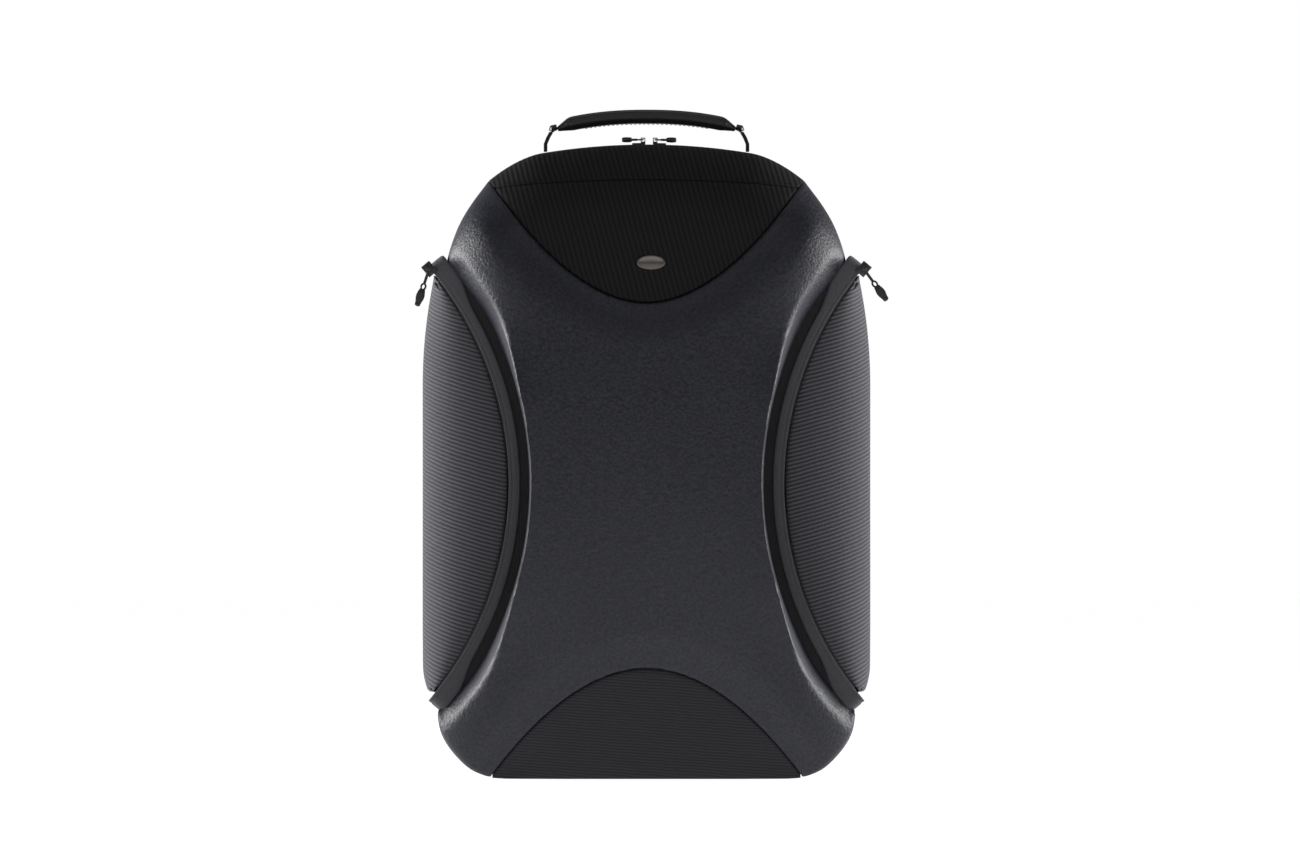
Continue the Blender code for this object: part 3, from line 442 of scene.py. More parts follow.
def block(name, low, high, mat, radius):
    """Box with rounded edges."""
    low, high = Vector(low), Vector(high)
    bm = bmesh.new()
    bmesh.ops.create_cube(bm, size=1)
    bmesh.ops.scale(bm, vec=high - low, verts=bm.verts)
    bmesh.ops.translate(bm, vec=(high + low) / 2, verts=bm.verts)
    bmesh.ops.bevel(bm, geom=bm.edges, offset=radius, segments=3, affect="EDGES", profile=0.5)
    mesh = made_mesh(name, bm, [mat])
    mesh.shade_smooth()
    return linked(name, mesh)


def joined(name, items):
    """One object out of several, under a new name."""
    bm = bmesh.new()
    mats = []
    for item in items:
        mesh = item.data.copy()
        mesh.transform(item.matrix_world)
        for mat in mesh.materials:
            if mat not in mats:
                mats.append(mat)
        first = len(bm.faces)
        bm.from_mesh(mesh)
        bm.faces.ensure_lookup_table()
        for face in bm.faces[first:]:
            face.material_index = mats.index(mesh.materials[face.material_index])
        bpy.data.meshes.remove(mesh)
        bpy.data.objects.remove(item, do_unlink=True)
    return linked(name, made_mesh(name, bm, mats))


def dress(item, body, slot, *nodes):
    """Put a finished piece on its body, and hide the CAD solids that it stands for."""
    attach(item, body)
    if nodes:
        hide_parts(*nodes)
    return item


# One stitch, ring by ring: place along it, half width and height, in lengths and widths
STITCH_RINGS = ((-0.5, 0.25, -0.3), (-0.32, 0.5, 0.35), (0.32, 0.5, 0.35), (0.5, 0.25, -0.3))


def stitches(name, path, up_hint, pitch=3.6, length=2.5, width=0.5, lift=0.15, mat=None):
    """A row of short thread stitches that lie along a path; their sizes are in millimetres."""
    count = max(2, int(path_length(path) / (pitch * MM))) * 2 + 1
    points = spaced(path, count)
    if hasattr(up_hint[0], "__len__"):
        up_hint = spaced(up_hint, count)
    marks = frames_along(points, up_hint)
    verts, faces = [], []
    for point, (ahead, side, up) in zip(points[1::2], marks[1::2]):
        base = len(verts)
        for along, half, rise in STITCH_RINGS:
            mid = Vector(point) + up * (lift + rise * width) * MM + ahead * along * length * MM
            verts += [mid + way * half * width * MM for way in (-side, up * 0.9, side, -up * 0.9)]
        faces += tube_faces(4, 4, base)
        faces += [tuple(range(base, base + 4)), tuple(range(base + 12, base + 16))]
    return mesh_object(name, verts, faces, mat or THREAD)


def sew(body, slot, name, path, up_hint, **sizes):
    """A row of stitches as a piece of its own."""
    return dress(stitches(name, path, up_hint, **sizes), body, slot)


# Materials: each is worked out from the object's own coordinates, in metres

class Nodes:
    """Short way to build a node tree around a Principled shader."""

    def __init__(self, name, roughness=0.6, metallic=0.0, **fixed):
        self.mat = bpy.data.materials.new(name)
        self.mat.use_nodes = True
        self.tree = self.mat.node_tree
        self.shader = self.tree.nodes["Principled BSDF"]
        for label, value in dict(fixed, Roughness=roughness, Metallic=metallic).items():
            self.shader.inputs[label.replace("_", " ")].default_value = value
        self.place = self.tree.nodes.new("ShaderNodeTexCoord").outputs["Object"]
        self.x, self.y, self.z = self.add("SeparateXYZ", Vector=self.place).outputs

    def add(self, kind, **plugs):
        """New node; each plug is a number, a colour or another node's socket."""
        node = self.tree.nodes.new("ShaderNode" + kind)
        for label, value in plugs.items():
            self.plug(value, node.inputs[label.replace("_", " ")])
        return node

    def plug(self, value, socket):
        if isinstance(value, bpy.types.NodeSocket):
            self.tree.links.new(value, socket)
        else:
            socket.default_value = value

    def math(self, operation, a, b=0.0, c=0.0):
        node = self.add("Math")
        node.operation = operation
        for value, socket in zip((a, b, c), node.inputs):
            self.plug(value, socket)
        return node.outputs[0]

    def noise(self, scale, detail=2.0, rough=0.5, at=None):
        return self.add("TexNoise", Vector=at or self.place, Scale=scale, Detail=detail,
                        Roughness=rough).outputs["Fac"]

    def cells(self, scale):
        return self.add("TexVoronoi", Vector=self.place, Scale=scale).outputs["Distance"]

    def wave(self, along, pitch):
        """Smooth ridges from 0 to 1, one for each pitch, in millimetres, of the value along."""
        turn = self.math("MULTIPLY", along, math.tau / (pitch * MM))
        return self.math("MULTIPLY_ADD", self.math("SINE", turn), 0.5, 0.5)

    def slanted(self, a, b, angle):
        """The direction at an angle, in degrees, from a towards b."""
        angle = math.radians(angle)
        return self.blend((a, math.cos(angle)), (b, math.sin(angle)))

    def blend(self, *parts):
        """Sum of values times weights."""
        total = 0.0
        for value, weight in parts:
            total = self.math("MULTIPLY_ADD", value, weight, total)
        return total

    def ramp(self, value, low, high, start=0.0, end=1.0):
        return self.add("MapRange", Value=value, From_Min=start, From_Max=end, To_Min=low,
                        To_Max=high).outputs["Result"]

    def roughness(self, value, low, high):
        self.plug(self.ramp(value, low, high), self.shader.inputs["Roughness"])

    def made(self, value, dark, light, *layers):
        """Finished material: coloured from dark to light by a value, with bump layers.

        Each layer is a height from 0 to 1 and its depth in millimetres.
        """
        node = self.add("Mix")
        node.data_type = "RGBA"
        self.plug(value, node.inputs["Factor"])
        for label, colour in (("A", dark), ("B", light)):
            node.inputs[label].default_value = (*colour, 1)
        self.tree.links.new(node.outputs["Result"], self.shader.inputs["Base Color"])
        normal = None
        for height, depth in layers:
            node = self.add("Bump", Strength=1.0, Distance=depth * MM, Height=height)
            if normal is not None:
                self.plug(normal, node.inputs["Normal"])
            normal = node.outputs["Normal"]
        self.plug(normal, self.shader.inputs["Normal"])
        return self.mat


def shell_material():
    n = Nodes("shell", Specular_IOR_Level=0.3)
    grain = n.noise(1300, 3.0, 0.6)
    pebble = n.noise(430, 1.0)
    tone = n.blend((grain, 0.25), (pebble, 0.6), (n.noise(9, 2.0), 0.15))
    n.roughness(pebble, 0.40, 0.56)
    return n.made(n.ramp(tone, 0.0, 1.0, 0.32, 0.68), (0.0085, 0.009, 0.0135),
                  (0.0265, 0.0272, 0.037), (pebble, 0.42), (grain, 0.12))


def ribbed_fabric(name, dark, light, axes, angle, pitch, depth, cell=1.3, gloss=0.3):
    """Knitted fabric with raised ribs that follow each other along the first of two axes.

    The angle, in degrees, turns them towards the second; the other sizes are in millimetres.
    """
    n = Nodes(name, 0.9, Specular_IOR_Level=gloss, Sheen_Weight=0.1 * gloss, Sheen_Roughness=0.5)
    first, second = axes(n)
    across = n.slanted(first, second, angle)
    ribs = n.wave(n.math("MULTIPLY_ADD", n.noise(60, 1.0), 0.9 * MM, across), pitch)
    # Loops lie across each rib like the strands of a rope
    strand = n.wave(n.math("MULTIPLY_ADD", across, 1.2, n.slanted(second, first, -angle)), cell)
    knit = n.math("MULTIPLY", strand, n.ramp(ribs, 0.35, 1.0))
    fuzz = n.noise(1500, 3.0, 0.7)
    return n.made(n.blend((knit, 0.33), (ribs, 0.42), (fuzz, 0.25)), dark, light,
                  (ribs, depth), (knit, 0.22), (fuzz, 0.08))


def band_material():
    n = Nodes("band_fabric", 0.92, Sheen_Weight=0.15, Sheen_Roughness=0.5)
    round_case = n.math("ADD", n.math("ABSOLUTE", n.x), n.y)
    weave = n.math("MULTIPLY", n.wave(n.z, 0.9), n.wave(round_case, 0.9))
    fuzz = n.noise(1800, 3.0, 0.65)
    return n.made(n.blend((weave, 0.3), (fuzz, 0.7)), (0.022, 0.022, 0.025), (0.125, 0.123, 0.135),
                  (fuzz, 0.12), (weave, 0.1))


def woven(name, dark, light, pitch=1.6):
    """Webbing or tape: plain weave with thread-to-thread variation."""
    n = Nodes(name, 0.85, Sheen_Weight=0.1, Sheen_Roughness=0.4)
    weave = n.math("MULTIPLY", n.wave(n.slanted(n.x, n.y, 45), pitch),
                   n.wave(n.slanted(n.z, n.y, 30), pitch * 0.7))
    threads = n.noise(900, 2.0)
    return n.made(n.blend((threads, 0.4), (weave, 0.6)), dark, light, (weave, 0.18), (threads, 0.08))


def air_mesh():
    """Spacer mesh on the back pads: rows of round holes in a knitted face."""
    n = Nodes("air_mesh", 0.9, Sheen_Weight=0.15, Sheen_Roughness=0.5)
    holes = n.math("MULTIPLY", n.wave(n.slanted(n.x, n.z, 45), 3.2),
                   n.wave(n.slanted(n.x, n.z, -45), 3.2))
    deep = n.ramp(holes, 1.0, 0.0, 0.45, 0.85)
    fuzz = n.noise(1500, 2.0)
    return n.made(n.blend((fuzz, 0.25), (deep, 0.75)), (0.004, 0.004, 0.005), (0.040, 0.040, 0.043),
                  (deep, 0.5), (fuzz, 0.1))


def brushed_lining(name, dark, light):
    """Short-pile velour over foam."""
    n = Nodes(name, 0.95, Sheen_Weight=0.35, Sheen_Roughness=0.45)
    pile = n.noise(1300, 3.0, 0.7)
    shade = n.noise(25, 2.0)
    return n.made(n.blend((shade, 0.4), (pile, 0.6)), dark, light, (pile, 0.15), (shade, 0.4))


def tub_material():
    """Coated pack cloth laminated to the rear moulding."""
    n = Nodes("tub_cloth", Specular_IOR_Level=0.45)
    weave = n.math("MULTIPLY", n.wave(n.slanted(n.x, n.y, 45), 1.1),
                   n.wave(n.slanted(n.z, n.y, 35), 1.0))
    grain = n.noise(700, 3.0)
    n.roughness(grain, 0.5, 0.72)
    return n.made(n.blend((grain, 0.5), (weave, 0.5)), (0.018, 0.018, 0.021), (0.036, 0.036, 0.041),
                  (weave, 0.10), (grain, 0.10))


def smooth_plastic(name, dark, light, rough=0.38):
    n = Nodes(name)
    marks = n.noise(220, 3.0)
    n.roughness(marks, rough - 0.07, rough + 0.1)
    return n.made(marks, dark, light, (n.noise(2400, 2.0), 0.03))


def grip_material():
    n = Nodes("grip_sleeve", Coat_Weight=0.12, Coat_Roughness=0.35)
    fine = n.noise(1500, 2.0)
    n.roughness(fine, 0.38, 0.55)
    return n.made(fine, (0.004, 0.004, 0.0045), (0.014, 0.014, 0.015),
                  (n.cells(420), 0.10), (fine, 0.05))


def painted_metal():
    n = Nodes("dark_metal", metallic=0.15)
    worn = n.noise(350, 3.0, 0.7)
    n.roughness(worn, 0.38, 0.55)
    return n.made(n.ramp(worn, 0.0, 1.0, 0.35, 0.8), (0.008, 0.008, 0.009), (0.05, 0.05, 0.053),
                  (worn, 0.03))


def brushed_metal():
    n = Nodes("badge_metal", metallic=1.0)
    stretched = n.add("Mapping", Vector=n.place, Scale=(1, 1, 14)).outputs["Vector"]
    lines = n.noise(260, 4.0, 0.7, at=stretched)
    n.roughness(lines, 0.30, 0.50)
    return n.made(lines, (0.10, 0.092, 0.084), (0.23, 0.21, 0.19), (lines, 0.02))


def thread_material():
    n = Nodes("thread", 0.75, Sheen_Weight=0.2, Sheen_Roughness=0.4)
    twist = n.wave(n.slanted(n.x, n.z, 45), 0.45)
    return n.made(twist, (0.010, 0.010, 0.011), (0.045, 0.045, 0.048), (twist, 0.05))


SHELL = shell_material()
TOP_FABRIC = ribbed_fabric("top_fabric", (0.007, 0.007, 0.0075), (0.024, 0.024, 0.025),
                           lambda n: (n.x, n.z), 15, 3.8, 0.26, gloss=0.08)
BOTTOM_FABRIC = ribbed_fabric("bottom_fabric", (0.012, 0.012, 0.014), (0.034, 0.034, 0.038),
                              lambda n: (n.z, n.x), 4, 2.3, 0.22)
SIDE_FABRIC = ribbed_fabric("side_fabric", (0.008, 0.008, 0.011), (0.136, 0.134, 0.150),
                            lambda n: (n.z, n.blend((n.math("ABSOLUTE", n.x), 1.0), (n.y, 0.5))),
                            -15, 3.0, 0.40, cell=1.6)
BAND = band_material()
WEBBING = woven("webbing", (0.006, 0.006, 0.007), (0.030, 0.030, 0.032))
TAPE = woven("zip_tape", (0.005, 0.005, 0.006), (0.022, 0.022, 0.024), 0.9)
# Piping coloured light grey: a painted highlight on dark piping along the pocket welts
PIPING_HIGHLIGHT = woven("piping", (0.05, 0.05, 0.053), (0.17, 0.17, 0.175), 0.8)
AIR_MESH = air_mesh()
FOAM = brushed_lining("foam_cover", (0.020, 0.020, 0.022), (0.060, 0.060, 0.064))
DIVIDER = brushed_lining("divider_cover", (0.045, 0.045, 0.050), (0.12, 0.12, 0.128))
LINING = brushed_lining("pocket_lining", (0.020, 0.020, 0.023), (0.055, 0.055, 0.060))
TUB = tub_material()
COIL = smooth_plastic("zip_coil", (0.006, 0.006, 0.007), (0.016, 0.016, 0.017), 0.33)
PLASTIC = smooth_plastic("black_plastic", (0.007, 0.007, 0.008), (0.020, 0.020, 0.021))
GRIP = grip_material()
METAL = painted_metal()
BADGE = brushed_metal()
THREAD = thread_material()


# Lid

def shell_side():
    """Right-hand edge of the front shell: case corner, pocket arc, case shoulder."""
    turns = np.linspace(-math.asin((ARC_Z - ARC_LOW_Z) / SHELL_ARC),
                        math.asin((ARC_HIGH_Z - ARC_Z) / SHELL_ARC), 121)
    arc = np.stack(arc_point(SHELL_ARC, turns, 1), axis=1)
    low = [p for p in SIDE if LENS_HALF_WIDTH < p[0] and p[1] < ARC_LOW_Z - 1.5 * MM]
    high = [p for p in SIDE if p[1] > ARC_HIGH_Z + 2 * MM]
    start = np.array((LENS_HALF_WIDTH, lens_edge_z(LENS_HALF_WIDTH)))
    return np.concatenate([spaced([start] + low + [arc[0]], 20), spaced(arc, 66)[1:],
                           spaced([arc[-1]] + high, 20)[1:]])


def make_front_shell():
    right = shell_side()
    lengths = np.linalg.norm(np.diff(right, axis=0), axis=1)
    v = np.concatenate([[0], np.cumsum(lengths)]) / lengths.sum()
    # Rows gather at both ends, where the shell's lips are
    last, extra = len(v) - 1, 4
    places = np.concatenate([[0], np.arange(extra + 1, last + extra), [last + 2 * extra]])
    rows = np.interp(np.arange(last + 2 * extra + 1), places, np.arange(last + 1))
    right = np.stack([np.interp(rows, np.arange(last + 1), right[:, k]) for k in range(2)], axis=1)
    v = np.interp(rows, np.arange(last + 1), v)[:, None]
    # Columns gather where the shoulder drops beside the pocket
    offsets = np.concatenate([np.linspace(*part)[:-1] for part in COLUMN_GATHERING])
    offsets = offsets / COLUMN_GATHERING[-1][1]
    s = np.concatenate([offsets - 1, [0], (1 - offsets)[::-1]])[None, :]
    base_x = (1 - v) * LENS_HALF_WIDTH + v * SHOULDER_X
    x = s * base_x + s * (right[:, :1] - base_x)
    corner_z = (1 - v) * right[0, 1] + v * right[-1, 1]
    z = (1 - v) * lens_edge_z(s * LENS_HALF_WIDTH) + v * v_edge_z(s * SHOULDER_X)
    z = z + right[:, 1:] - corner_z
    depth = shell_depth(x, z)
    lip = np.where((v <= 0) | (v >= 1), 4 * MM, 0.0)
    inner = lid_points(*inner_xz(x, z), np.maximum(6 * MM, depth - SKIN - lip))

    def with_walls(grid):
        walls = grid[:, [0, -1]].copy()
        walls[..., 1] = FOOT_Y
        return np.concatenate([walls[:, :1], grid, walls[:, 1:]], axis=1)

    shell = thick_sheet("shell_moulding", with_walls(lid_points(x, z, depth)), with_walls(inner),
                        SHELL, sharp=60, inside=LINING)
    dress(shell, "lid", "shell", "front_shell")


def eased(count, lead):
    t = np.linspace(0, 1, count)
    return (1 - lead) * t + lead * (0.5 - 0.5 * np.cos(math.pi * t))


def make_panel(name, node, mat, low_line, high_line, half_width, rows, wall_at=None):
    """Padded fabric panel whose edges roll in towards the shell."""
    t = 2 * eased(90, 0.35)[None, :] - 1
    v = eased(rows, 0.7)[:, None]
    x = half_width * t + 0 * v
    low, high = low_line(x), high_line(x)
    z = (1 - v) * low + v * high
    # An edge that goes on as a wall down to the zip doesn't roll in
    edge = {"low": high - z, "high": z - low}.get(wall_at, np.minimum(z - low, high - z))
    depth = panel_depth(x, z) - 1.8 * MM * (1 - round_over(edge / (4 * MM)))
    if not wall_at:
        depth = depth + 1.6 * MM * np.sin(math.pi * np.clip(v, 0, 1)) * np.sqrt(
            np.clip(1 - t ** 2, 0, 1))
    grids = [lid_points(x, z, depth), lid_points(*inner_xz(x, z), panel_depth(x, z) - SKIN)]
    if wall_at == "low":
        grids[1][0, :, 2] += SKIN
    for k, grid in enumerate(grids):
        if wall_at:
            wall = np.repeat(grid[[0 if wall_at == "low" else -1]], 7, axis=0)
            wall[..., 1] += (FOOT_Y - wall[..., 1]) * np.linspace(0, 1, 8)[1:, None]
            grids[k] = np.concatenate([wall[::-1], grid] if wall_at == "low" else [grid, wall])
    panel = thick_sheet(name, *grids, mat, sharp=60, inside=LINING)
    dress(panel, "lid", "panel_mesh", node)


def on_panel(x, z, lift):
    return lid_points(x, z, panel_depth(x, z) + lift)


def make_panels():
    gap, parting = 0.5 * MM, 0.15 * MM
    make_panel("top_panel_cover", "top_panel", TOP_FABRIC, lambda x: v_edge_z(x) + gap,
               lambda x: seam_z(x) - parting, 115 * MM, 60)
    make_panel("top_cap_cover", "top_cap", TOP_FABRIC,
               lambda x: np.maximum(seam_z(x) + parting, v_edge_z(x) + gap), top_z,
               SHOULDER_X - 0.4 * MM, 40, "high")
    make_panel("bottom_panel_cover", "bottom_panel", BOTTOM_FABRIC, bottom_z,
               lambda x: lens_edge_z(x) - gap, 117.5 * MM, 50, "low")
    x = np.linspace(-110 * MM, 110 * MM, 120)
    sew("lid", "panel_mesh", "seam_stitching", on_panel(x, seam_z(x) + 2.6 * MM, -0.25 * MM),
        (0, -1, 0.3), pitch=3.0, length=2.1, width=0.35, mat=TOP_FABRIC)


def make_badge():
    """Plain oval plate with a raised rim; it carries no mark."""
    low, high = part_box("badge")
    middle, half = (low + high) / 2, (high - low) / 2
    rings = []
    for size, lift in ((1.0, 0.6), (1.0, 1.9), (0.95, 2.3), (0.86, 2.35), (0.80, 2.0), (0.3, 2.05)):
        rings.append([on_panel(np.array(middle.x + half.x * size * c),
                               np.array(middle.z + half.z * (size - (1 - size) * 0.6) * s), lift * MM)
                      for c, s in circle(64)])
    dress(swept("badge_plate", rings, BADGE, sharp=60), "lid", "badge_metal", "badge")


make_front_shell()
make_panels()
make_badge()


# Side pockets

def cover_grid(side, a, b, skin, puff):
    """Points of a pocket cover: a runs along the zip arc, b from the zip to the hinge."""
    front_x, z = arc_point(SEAM_ARC - 0.9 * MM, a, 1)
    back_x = cover_edge_x(z) - skin
    x = front_x + (back_x - front_x) * np.sin(b) + puff * np.sin(b)
    depth = RIM + (BAND_DEPTH - skin - RIM) * np.cos(b) ** 0.85 + puff * np.cos(b)
    return lid_points(side * x, z, depth)


def make_side_cover(side, word):
    a = COVER_ANGLE * np.sin(np.radians(np.linspace(-90, 90, 120)))[:, None]
    b = (math.pi / 2 * eased(44, 0.5))[None, :]
    edge = np.minimum((COVER_ANGLE - np.abs(a)) * SEAM_ARC, b / (math.pi / 2) * 60 * MM)
    crown = np.sin(2 * b) ** 0.7 * (1 - (a / COVER_ANGLE) ** 4)
    puff = 2.6 * MM * crown - 1.0 * MM * (1 - round_over(edge / (3 * MM)))
    cover = thick_sheet(f"pocket_cover_{word}", cover_grid(side, a, b, 0.0, puff),
                        cover_grid(side, a, b, 2.6 * MM, 0.0), SIDE_FABRIC, sharp=60, inside=LINING)
    dress(cover, f"cover_{word}", "side_mesh", f"side_cover_{word}")
    a = np.linspace(-0.94 * COVER_ANGLE, 0.94 * COVER_ANGLE, 120)
    row = cover_grid(side, a, np.full_like(a, 0.07), 0.0, -0.35 * MM)
    sew(f"cover_{word}", "side_mesh", f"cover_stitching_{word}", row, (0, -1, 0), pitch=3.2,
        length=2.2, width=0.35)


def band_stations(side):
    """Places along the pocket welt: up the front arc, and round the case's corner at both ends.

    Each is (arc angle, shift, normal): the shift moves a front arc point of that angle.
    """
    corner = 6 * MM
    top = BAND_ANGLE - corner / SEAM_ARC
    run = BAND_DEPTH - RIM - corner - 2 * MM
    back = Vector((0, 1, 0))
    ends = []
    for a in (-top, top):
        onward = Vector((side * abs(math.sin(a)), 0, math.copysign(math.cos(a), a)))
        part = []
        for turn in np.radians(np.linspace(0, 90, 9)[1:]):
            shift = onward * corner * math.sin(turn) + back * corner * (1 - math.cos(turn))
            part.append((a, shift, onward * math.sin(turn) - back * math.cos(turn)))
        part += [(a, onward * corner + back * (corner + run * k / 6), onward) for k in range(1, 7)]
        ends.append(part)
    front = [(a, Vector(), -back) for a in np.linspace(-top, top, 110)]
    return ends[0][::-1] + front + ends[1]


def band_width(a):
    """Width of the welt, which broadens towards both ends of the pocket."""
    return (8.2 + 5.5 * float(smoothstep((abs(a) - math.radians(30)) / math.radians(7)))) * MM


def on_band(side, station, across, lift):
    """Point on the welt, so many millimetres across from its inner edge and off its face."""
    a, shift, normal = station
    x, z = arc_point(BAND_ARC + across * MM, a, side)
    return Vector((x, ZIP_Y - BAND_DEPTH, z)) + shift + normal * lift * MM


def make_band(side, word):
    stations = band_stations(side)
    rings, shadow_strip = [], []
    for station in stations:
        width = band_width(station[0]) / MM
        ring = []
        for k in range(17):
            u = k / 16
            hump = (1 - (2 * u - 1) ** 4) ** 0.5
            groove = math.exp(-((u * width - STITCH_LINE) / 0.5) ** 2)
            ring.append(on_band(side, station, u * width, 0.2 + 0.9 * hump - 0.5 * groove))
        rings.append(ring + [on_band(side, station, across, -2.3) for across in (width, 0.0)])
        # Dark tape strip between the welt and the foot of the shell: a painted shadow in the gap there
        if station[1].length == 0:
            marks = np.linspace(width - 1.0, (SHELL_ARC + LEDGE_WIDTH - BAND_ARC) / MM + 1.2, 7)
            shadow_strip.append([on_band(side, station, mark, -0.55) for mark in marks]
                          + [on_band(side, station, mark, -0.9) for mark in marks[::-1]])
    band = swept(f"pocket_welt_{word}", rings, BAND, sharp=60)
    dress(band, "lid", "zip_tape", f"pocket_band_{word}")
    ups = [s[2] for s in stations]
    path = [on_band(side, s, 0.2, 0.35) for s in stations]
    # Piping along the welt's inner edge; its light grey colour is a painted highlight
    dress(sweep_profile(f"pocket_piping_{word}", path, oval(1.3 * MM, 1.3 * MM, 8), ups, PIPING_HIGHLIGHT),
          "lid", "zip_tape")
    sew("lid", "zip_tape", f"welt_stitching_{word}",
        [on_band(side, s, STITCH_LINE, 0.45) for s in stations], ups, pitch=3.0, length=2.1,
        width=0.35, lift=0.05)
    # Dark strip that paints the shadow between the welt and the shell
    dress(swept(f"pocket_gutter_{word}", shadow_strip, TAPE, sharp=60), "lid", "zip_tape")


def coil(name, centres, across, up, size=(0.8, 2.3, 1.1), pitch=1.25):
    """Row of zip teeth, with sizes in millimetres: rounded bars that lie across a path."""
    count = int(path_length(centres) / (pitch * MM))
    points = spaced(centres, count)
    marks = frames_along(points, spaced(up, count))
    thick, long, high = (value / 2 * MM for value in size)
    verts, faces = [], []
    for point, (ahead, _, rise), cross in zip(points, marks, spaced(across, count)):
        base = len(verts)
        for end in (-long, long):
            middle = Vector(point) + Vector(cross) * end
            verts += [middle + ahead * thick * c + rise * high * s for c, s in circle(6)]
        faces += tube_faces(2, 6, base)
        faces += [tuple(range(base, base + 6)), tuple(range(base + 6, base + 12))]
    return mesh_object(name, verts, faces, COIL, sharp=50)


def make_pocket_zip(side, word):
    reach = 0.97 * COVER_ANGLE
    for name, body, radius, shift in (
            (f"pocket_coil_{word}", "lid", SEAM_ARC + 0.5 * MM, 0.6 * MM / SEAM_ARC),
            (f"cover_coil_{word}", f"cover_{word}", SEAM_ARC - 0.5 * MM, 0.0)):
        a = np.linspace(-reach, reach, 160) + shift
        x, z = arc_point(radius, a, side)
        outward = np.stack([-side * np.cos(a), 0 * a, np.sin(a)], axis=1)
        teeth = coil(name, lid_points(x, z, BAND_DEPTH - 1.6 * MM), outward,
                     np.tile((0.0, -1.0, 0.0), (len(a), 1)))
        dress(teeth, body, "zip_tape")
    a = np.linspace(-reach, reach, 90)[:, None]
    across = np.array((0.8, 2.2, 4.2))[None, :] * MM
    grids = [lid_points(*arc_point(SEAM_ARC - across, a, side), BAND_DEPTH - low * MM)
             for low in (2.2, 3.2)]
    dress(thick_sheet(f"cover_tape_{word}", *grids, TAPE), f"cover_{word}", "zip_tape",
          f"cover_zip_{word}")


def make_liner(side, word):
    """Pocket lining: a flat back wall with both ends turned forward."""
    sheet = 1.6 * MM
    top = BAND_DEPTH - 2.8 * MM
    angles = [-POCKET_ANGLE] * 8 + list(np.linspace(-POCKET_ANGLE, POCKET_ANGLE, 60)[1:-1])
    angles += [POCKET_ANGLE] * 8
    depths = list(np.linspace(top, RIM, 8)) + [RIM] * 58 + list(np.linspace(RIM, top, 8))
    u = np.linspace(0, 1, 14)
    outer, inner = [], []
    for a, depth in zip(angles, depths):
        for grid, turn, lift in ((outer, 1.0, 0.0), (inner, 0.9895, sheet)):
            near_x, near_z = arc_point(SHELL_ARC - 0.7 * MM, a * turn, 1)
            far_z = ARC_Z + (SEAM_ARC - 0.9 * MM) * math.sin(a * turn)
            x = near_x + (cover_edge_x(far_z) - 4 * MM - near_x) * u
            z = near_z + (far_z - near_z) * u
            grid.append(lid_points(side * x, z, max(depth, RIM + lift)))
    liner = thick_sheet(f"pocket_lining_{word}", outer, inner, LINING, sharp=50)
    dress(liner, "lid", "lining", f"pocket_liner_{word}")


# Zips of the case, their sliders and pulls

def make_main_zip():
    out, mid, deep = (case_outline(inset * MM, 240, low_x=119 * MM) for inset in (0.6, 0.2, 3.0))
    normals = (out - deep) / np.linalg.norm(out - deep, axis=1)[:, None]
    up = np.stack([normals[:, 0], 0 * normals[:, 0], normals[:, 1]], axis=1)

    def raised(line, y):
        return np.stack([line[:, 0], np.full(len(line), y), line[:, 1]], axis=1)

    for start, (body, sign) in enumerate((("case", 1), ("lid", -1))):
        ys = ZIP_Y + sign * np.array((0.8, 1.2, 2.6, 4.2, 4.8)) * MM
        outer = np.stack([raised(line, y) for line, y in zip((out, mid, mid, mid, out), ys)], axis=1)
        inner = np.stack([raised(deep, y) for y in ys], axis=1)
        tape = thick_sheet(f"zip_tape_{body}", outer, inner, TAPE, sharp=50)
        dress(tape, body, "zip_tape", f"main_zip_{body}")
        row = raised(out, ZIP_Y + sign * 0.5 * MM)
        cross = np.tile((0.0, 1.0, 0.0), (len(row), 1))
        # The lid's teeth start one place further on, so that they stand between the case's
        teeth = coil(f"zip_coil_{body}", row[start:], cross[start:], up[start:],
                     size=(0.95, 2.4, 1.3), pitch=1.5)
        dress(teeth, body, "zip_tape")
        sew(body, "zip_tape", f"zip_stitching_{body}", raised(mid, ZIP_Y + sign * 3.6 * MM), up,
            pitch=3.2, length=2.2, width=0.35, lift=0.1)
        strip = block(f"base_strip_{body}", *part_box(f"hinge_strip_{body}"), WEBBING, 0.9 * MM)
        dress(strip, body, "webbing", f"hinge_strip_{body}")


def refined(name, body, slot, node, mat, width):
    """Piece made of a CAD solid, with its flat faces merged and its edges rounded."""
    bm = bmesh.new()
    bm.from_mesh(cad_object(node).data)
    bmesh.ops.remove_doubles(bm, verts=bm.verts, dist=1e-6)
    bmesh.ops.dissolve_limit(bm, angle_limit=math.radians(2), verts=bm.verts, edges=bm.edges)
    item = bevelled(linked(name, made_mesh(name, bm, [mat])), width)
    item.data.shade_smooth()
    item.data.set_sharp_from_angle(angle=math.radians(40))
    return dress(item, body, slot, node)


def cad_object(node):
    """The CAD solid of a node, as an object."""
    found = frame["nodes"][node]
    return found if hasattr(found, "data") else bpy.data.objects[node]


def pull_frame(joint, pull, outward):
    """Matrix whose X runs along the pull and whose Z points away from the case."""
    pull = Vector(pull).normalized()
    outward = (Vector(outward) - pull * pull.dot(Vector(outward))).normalized()
    turn = Matrix((pull, outward.cross(pull), outward)).transposed().to_4x4()
    return Matrix.Translation(Vector(JOINTS[joint]["pos_m"])) @ turn


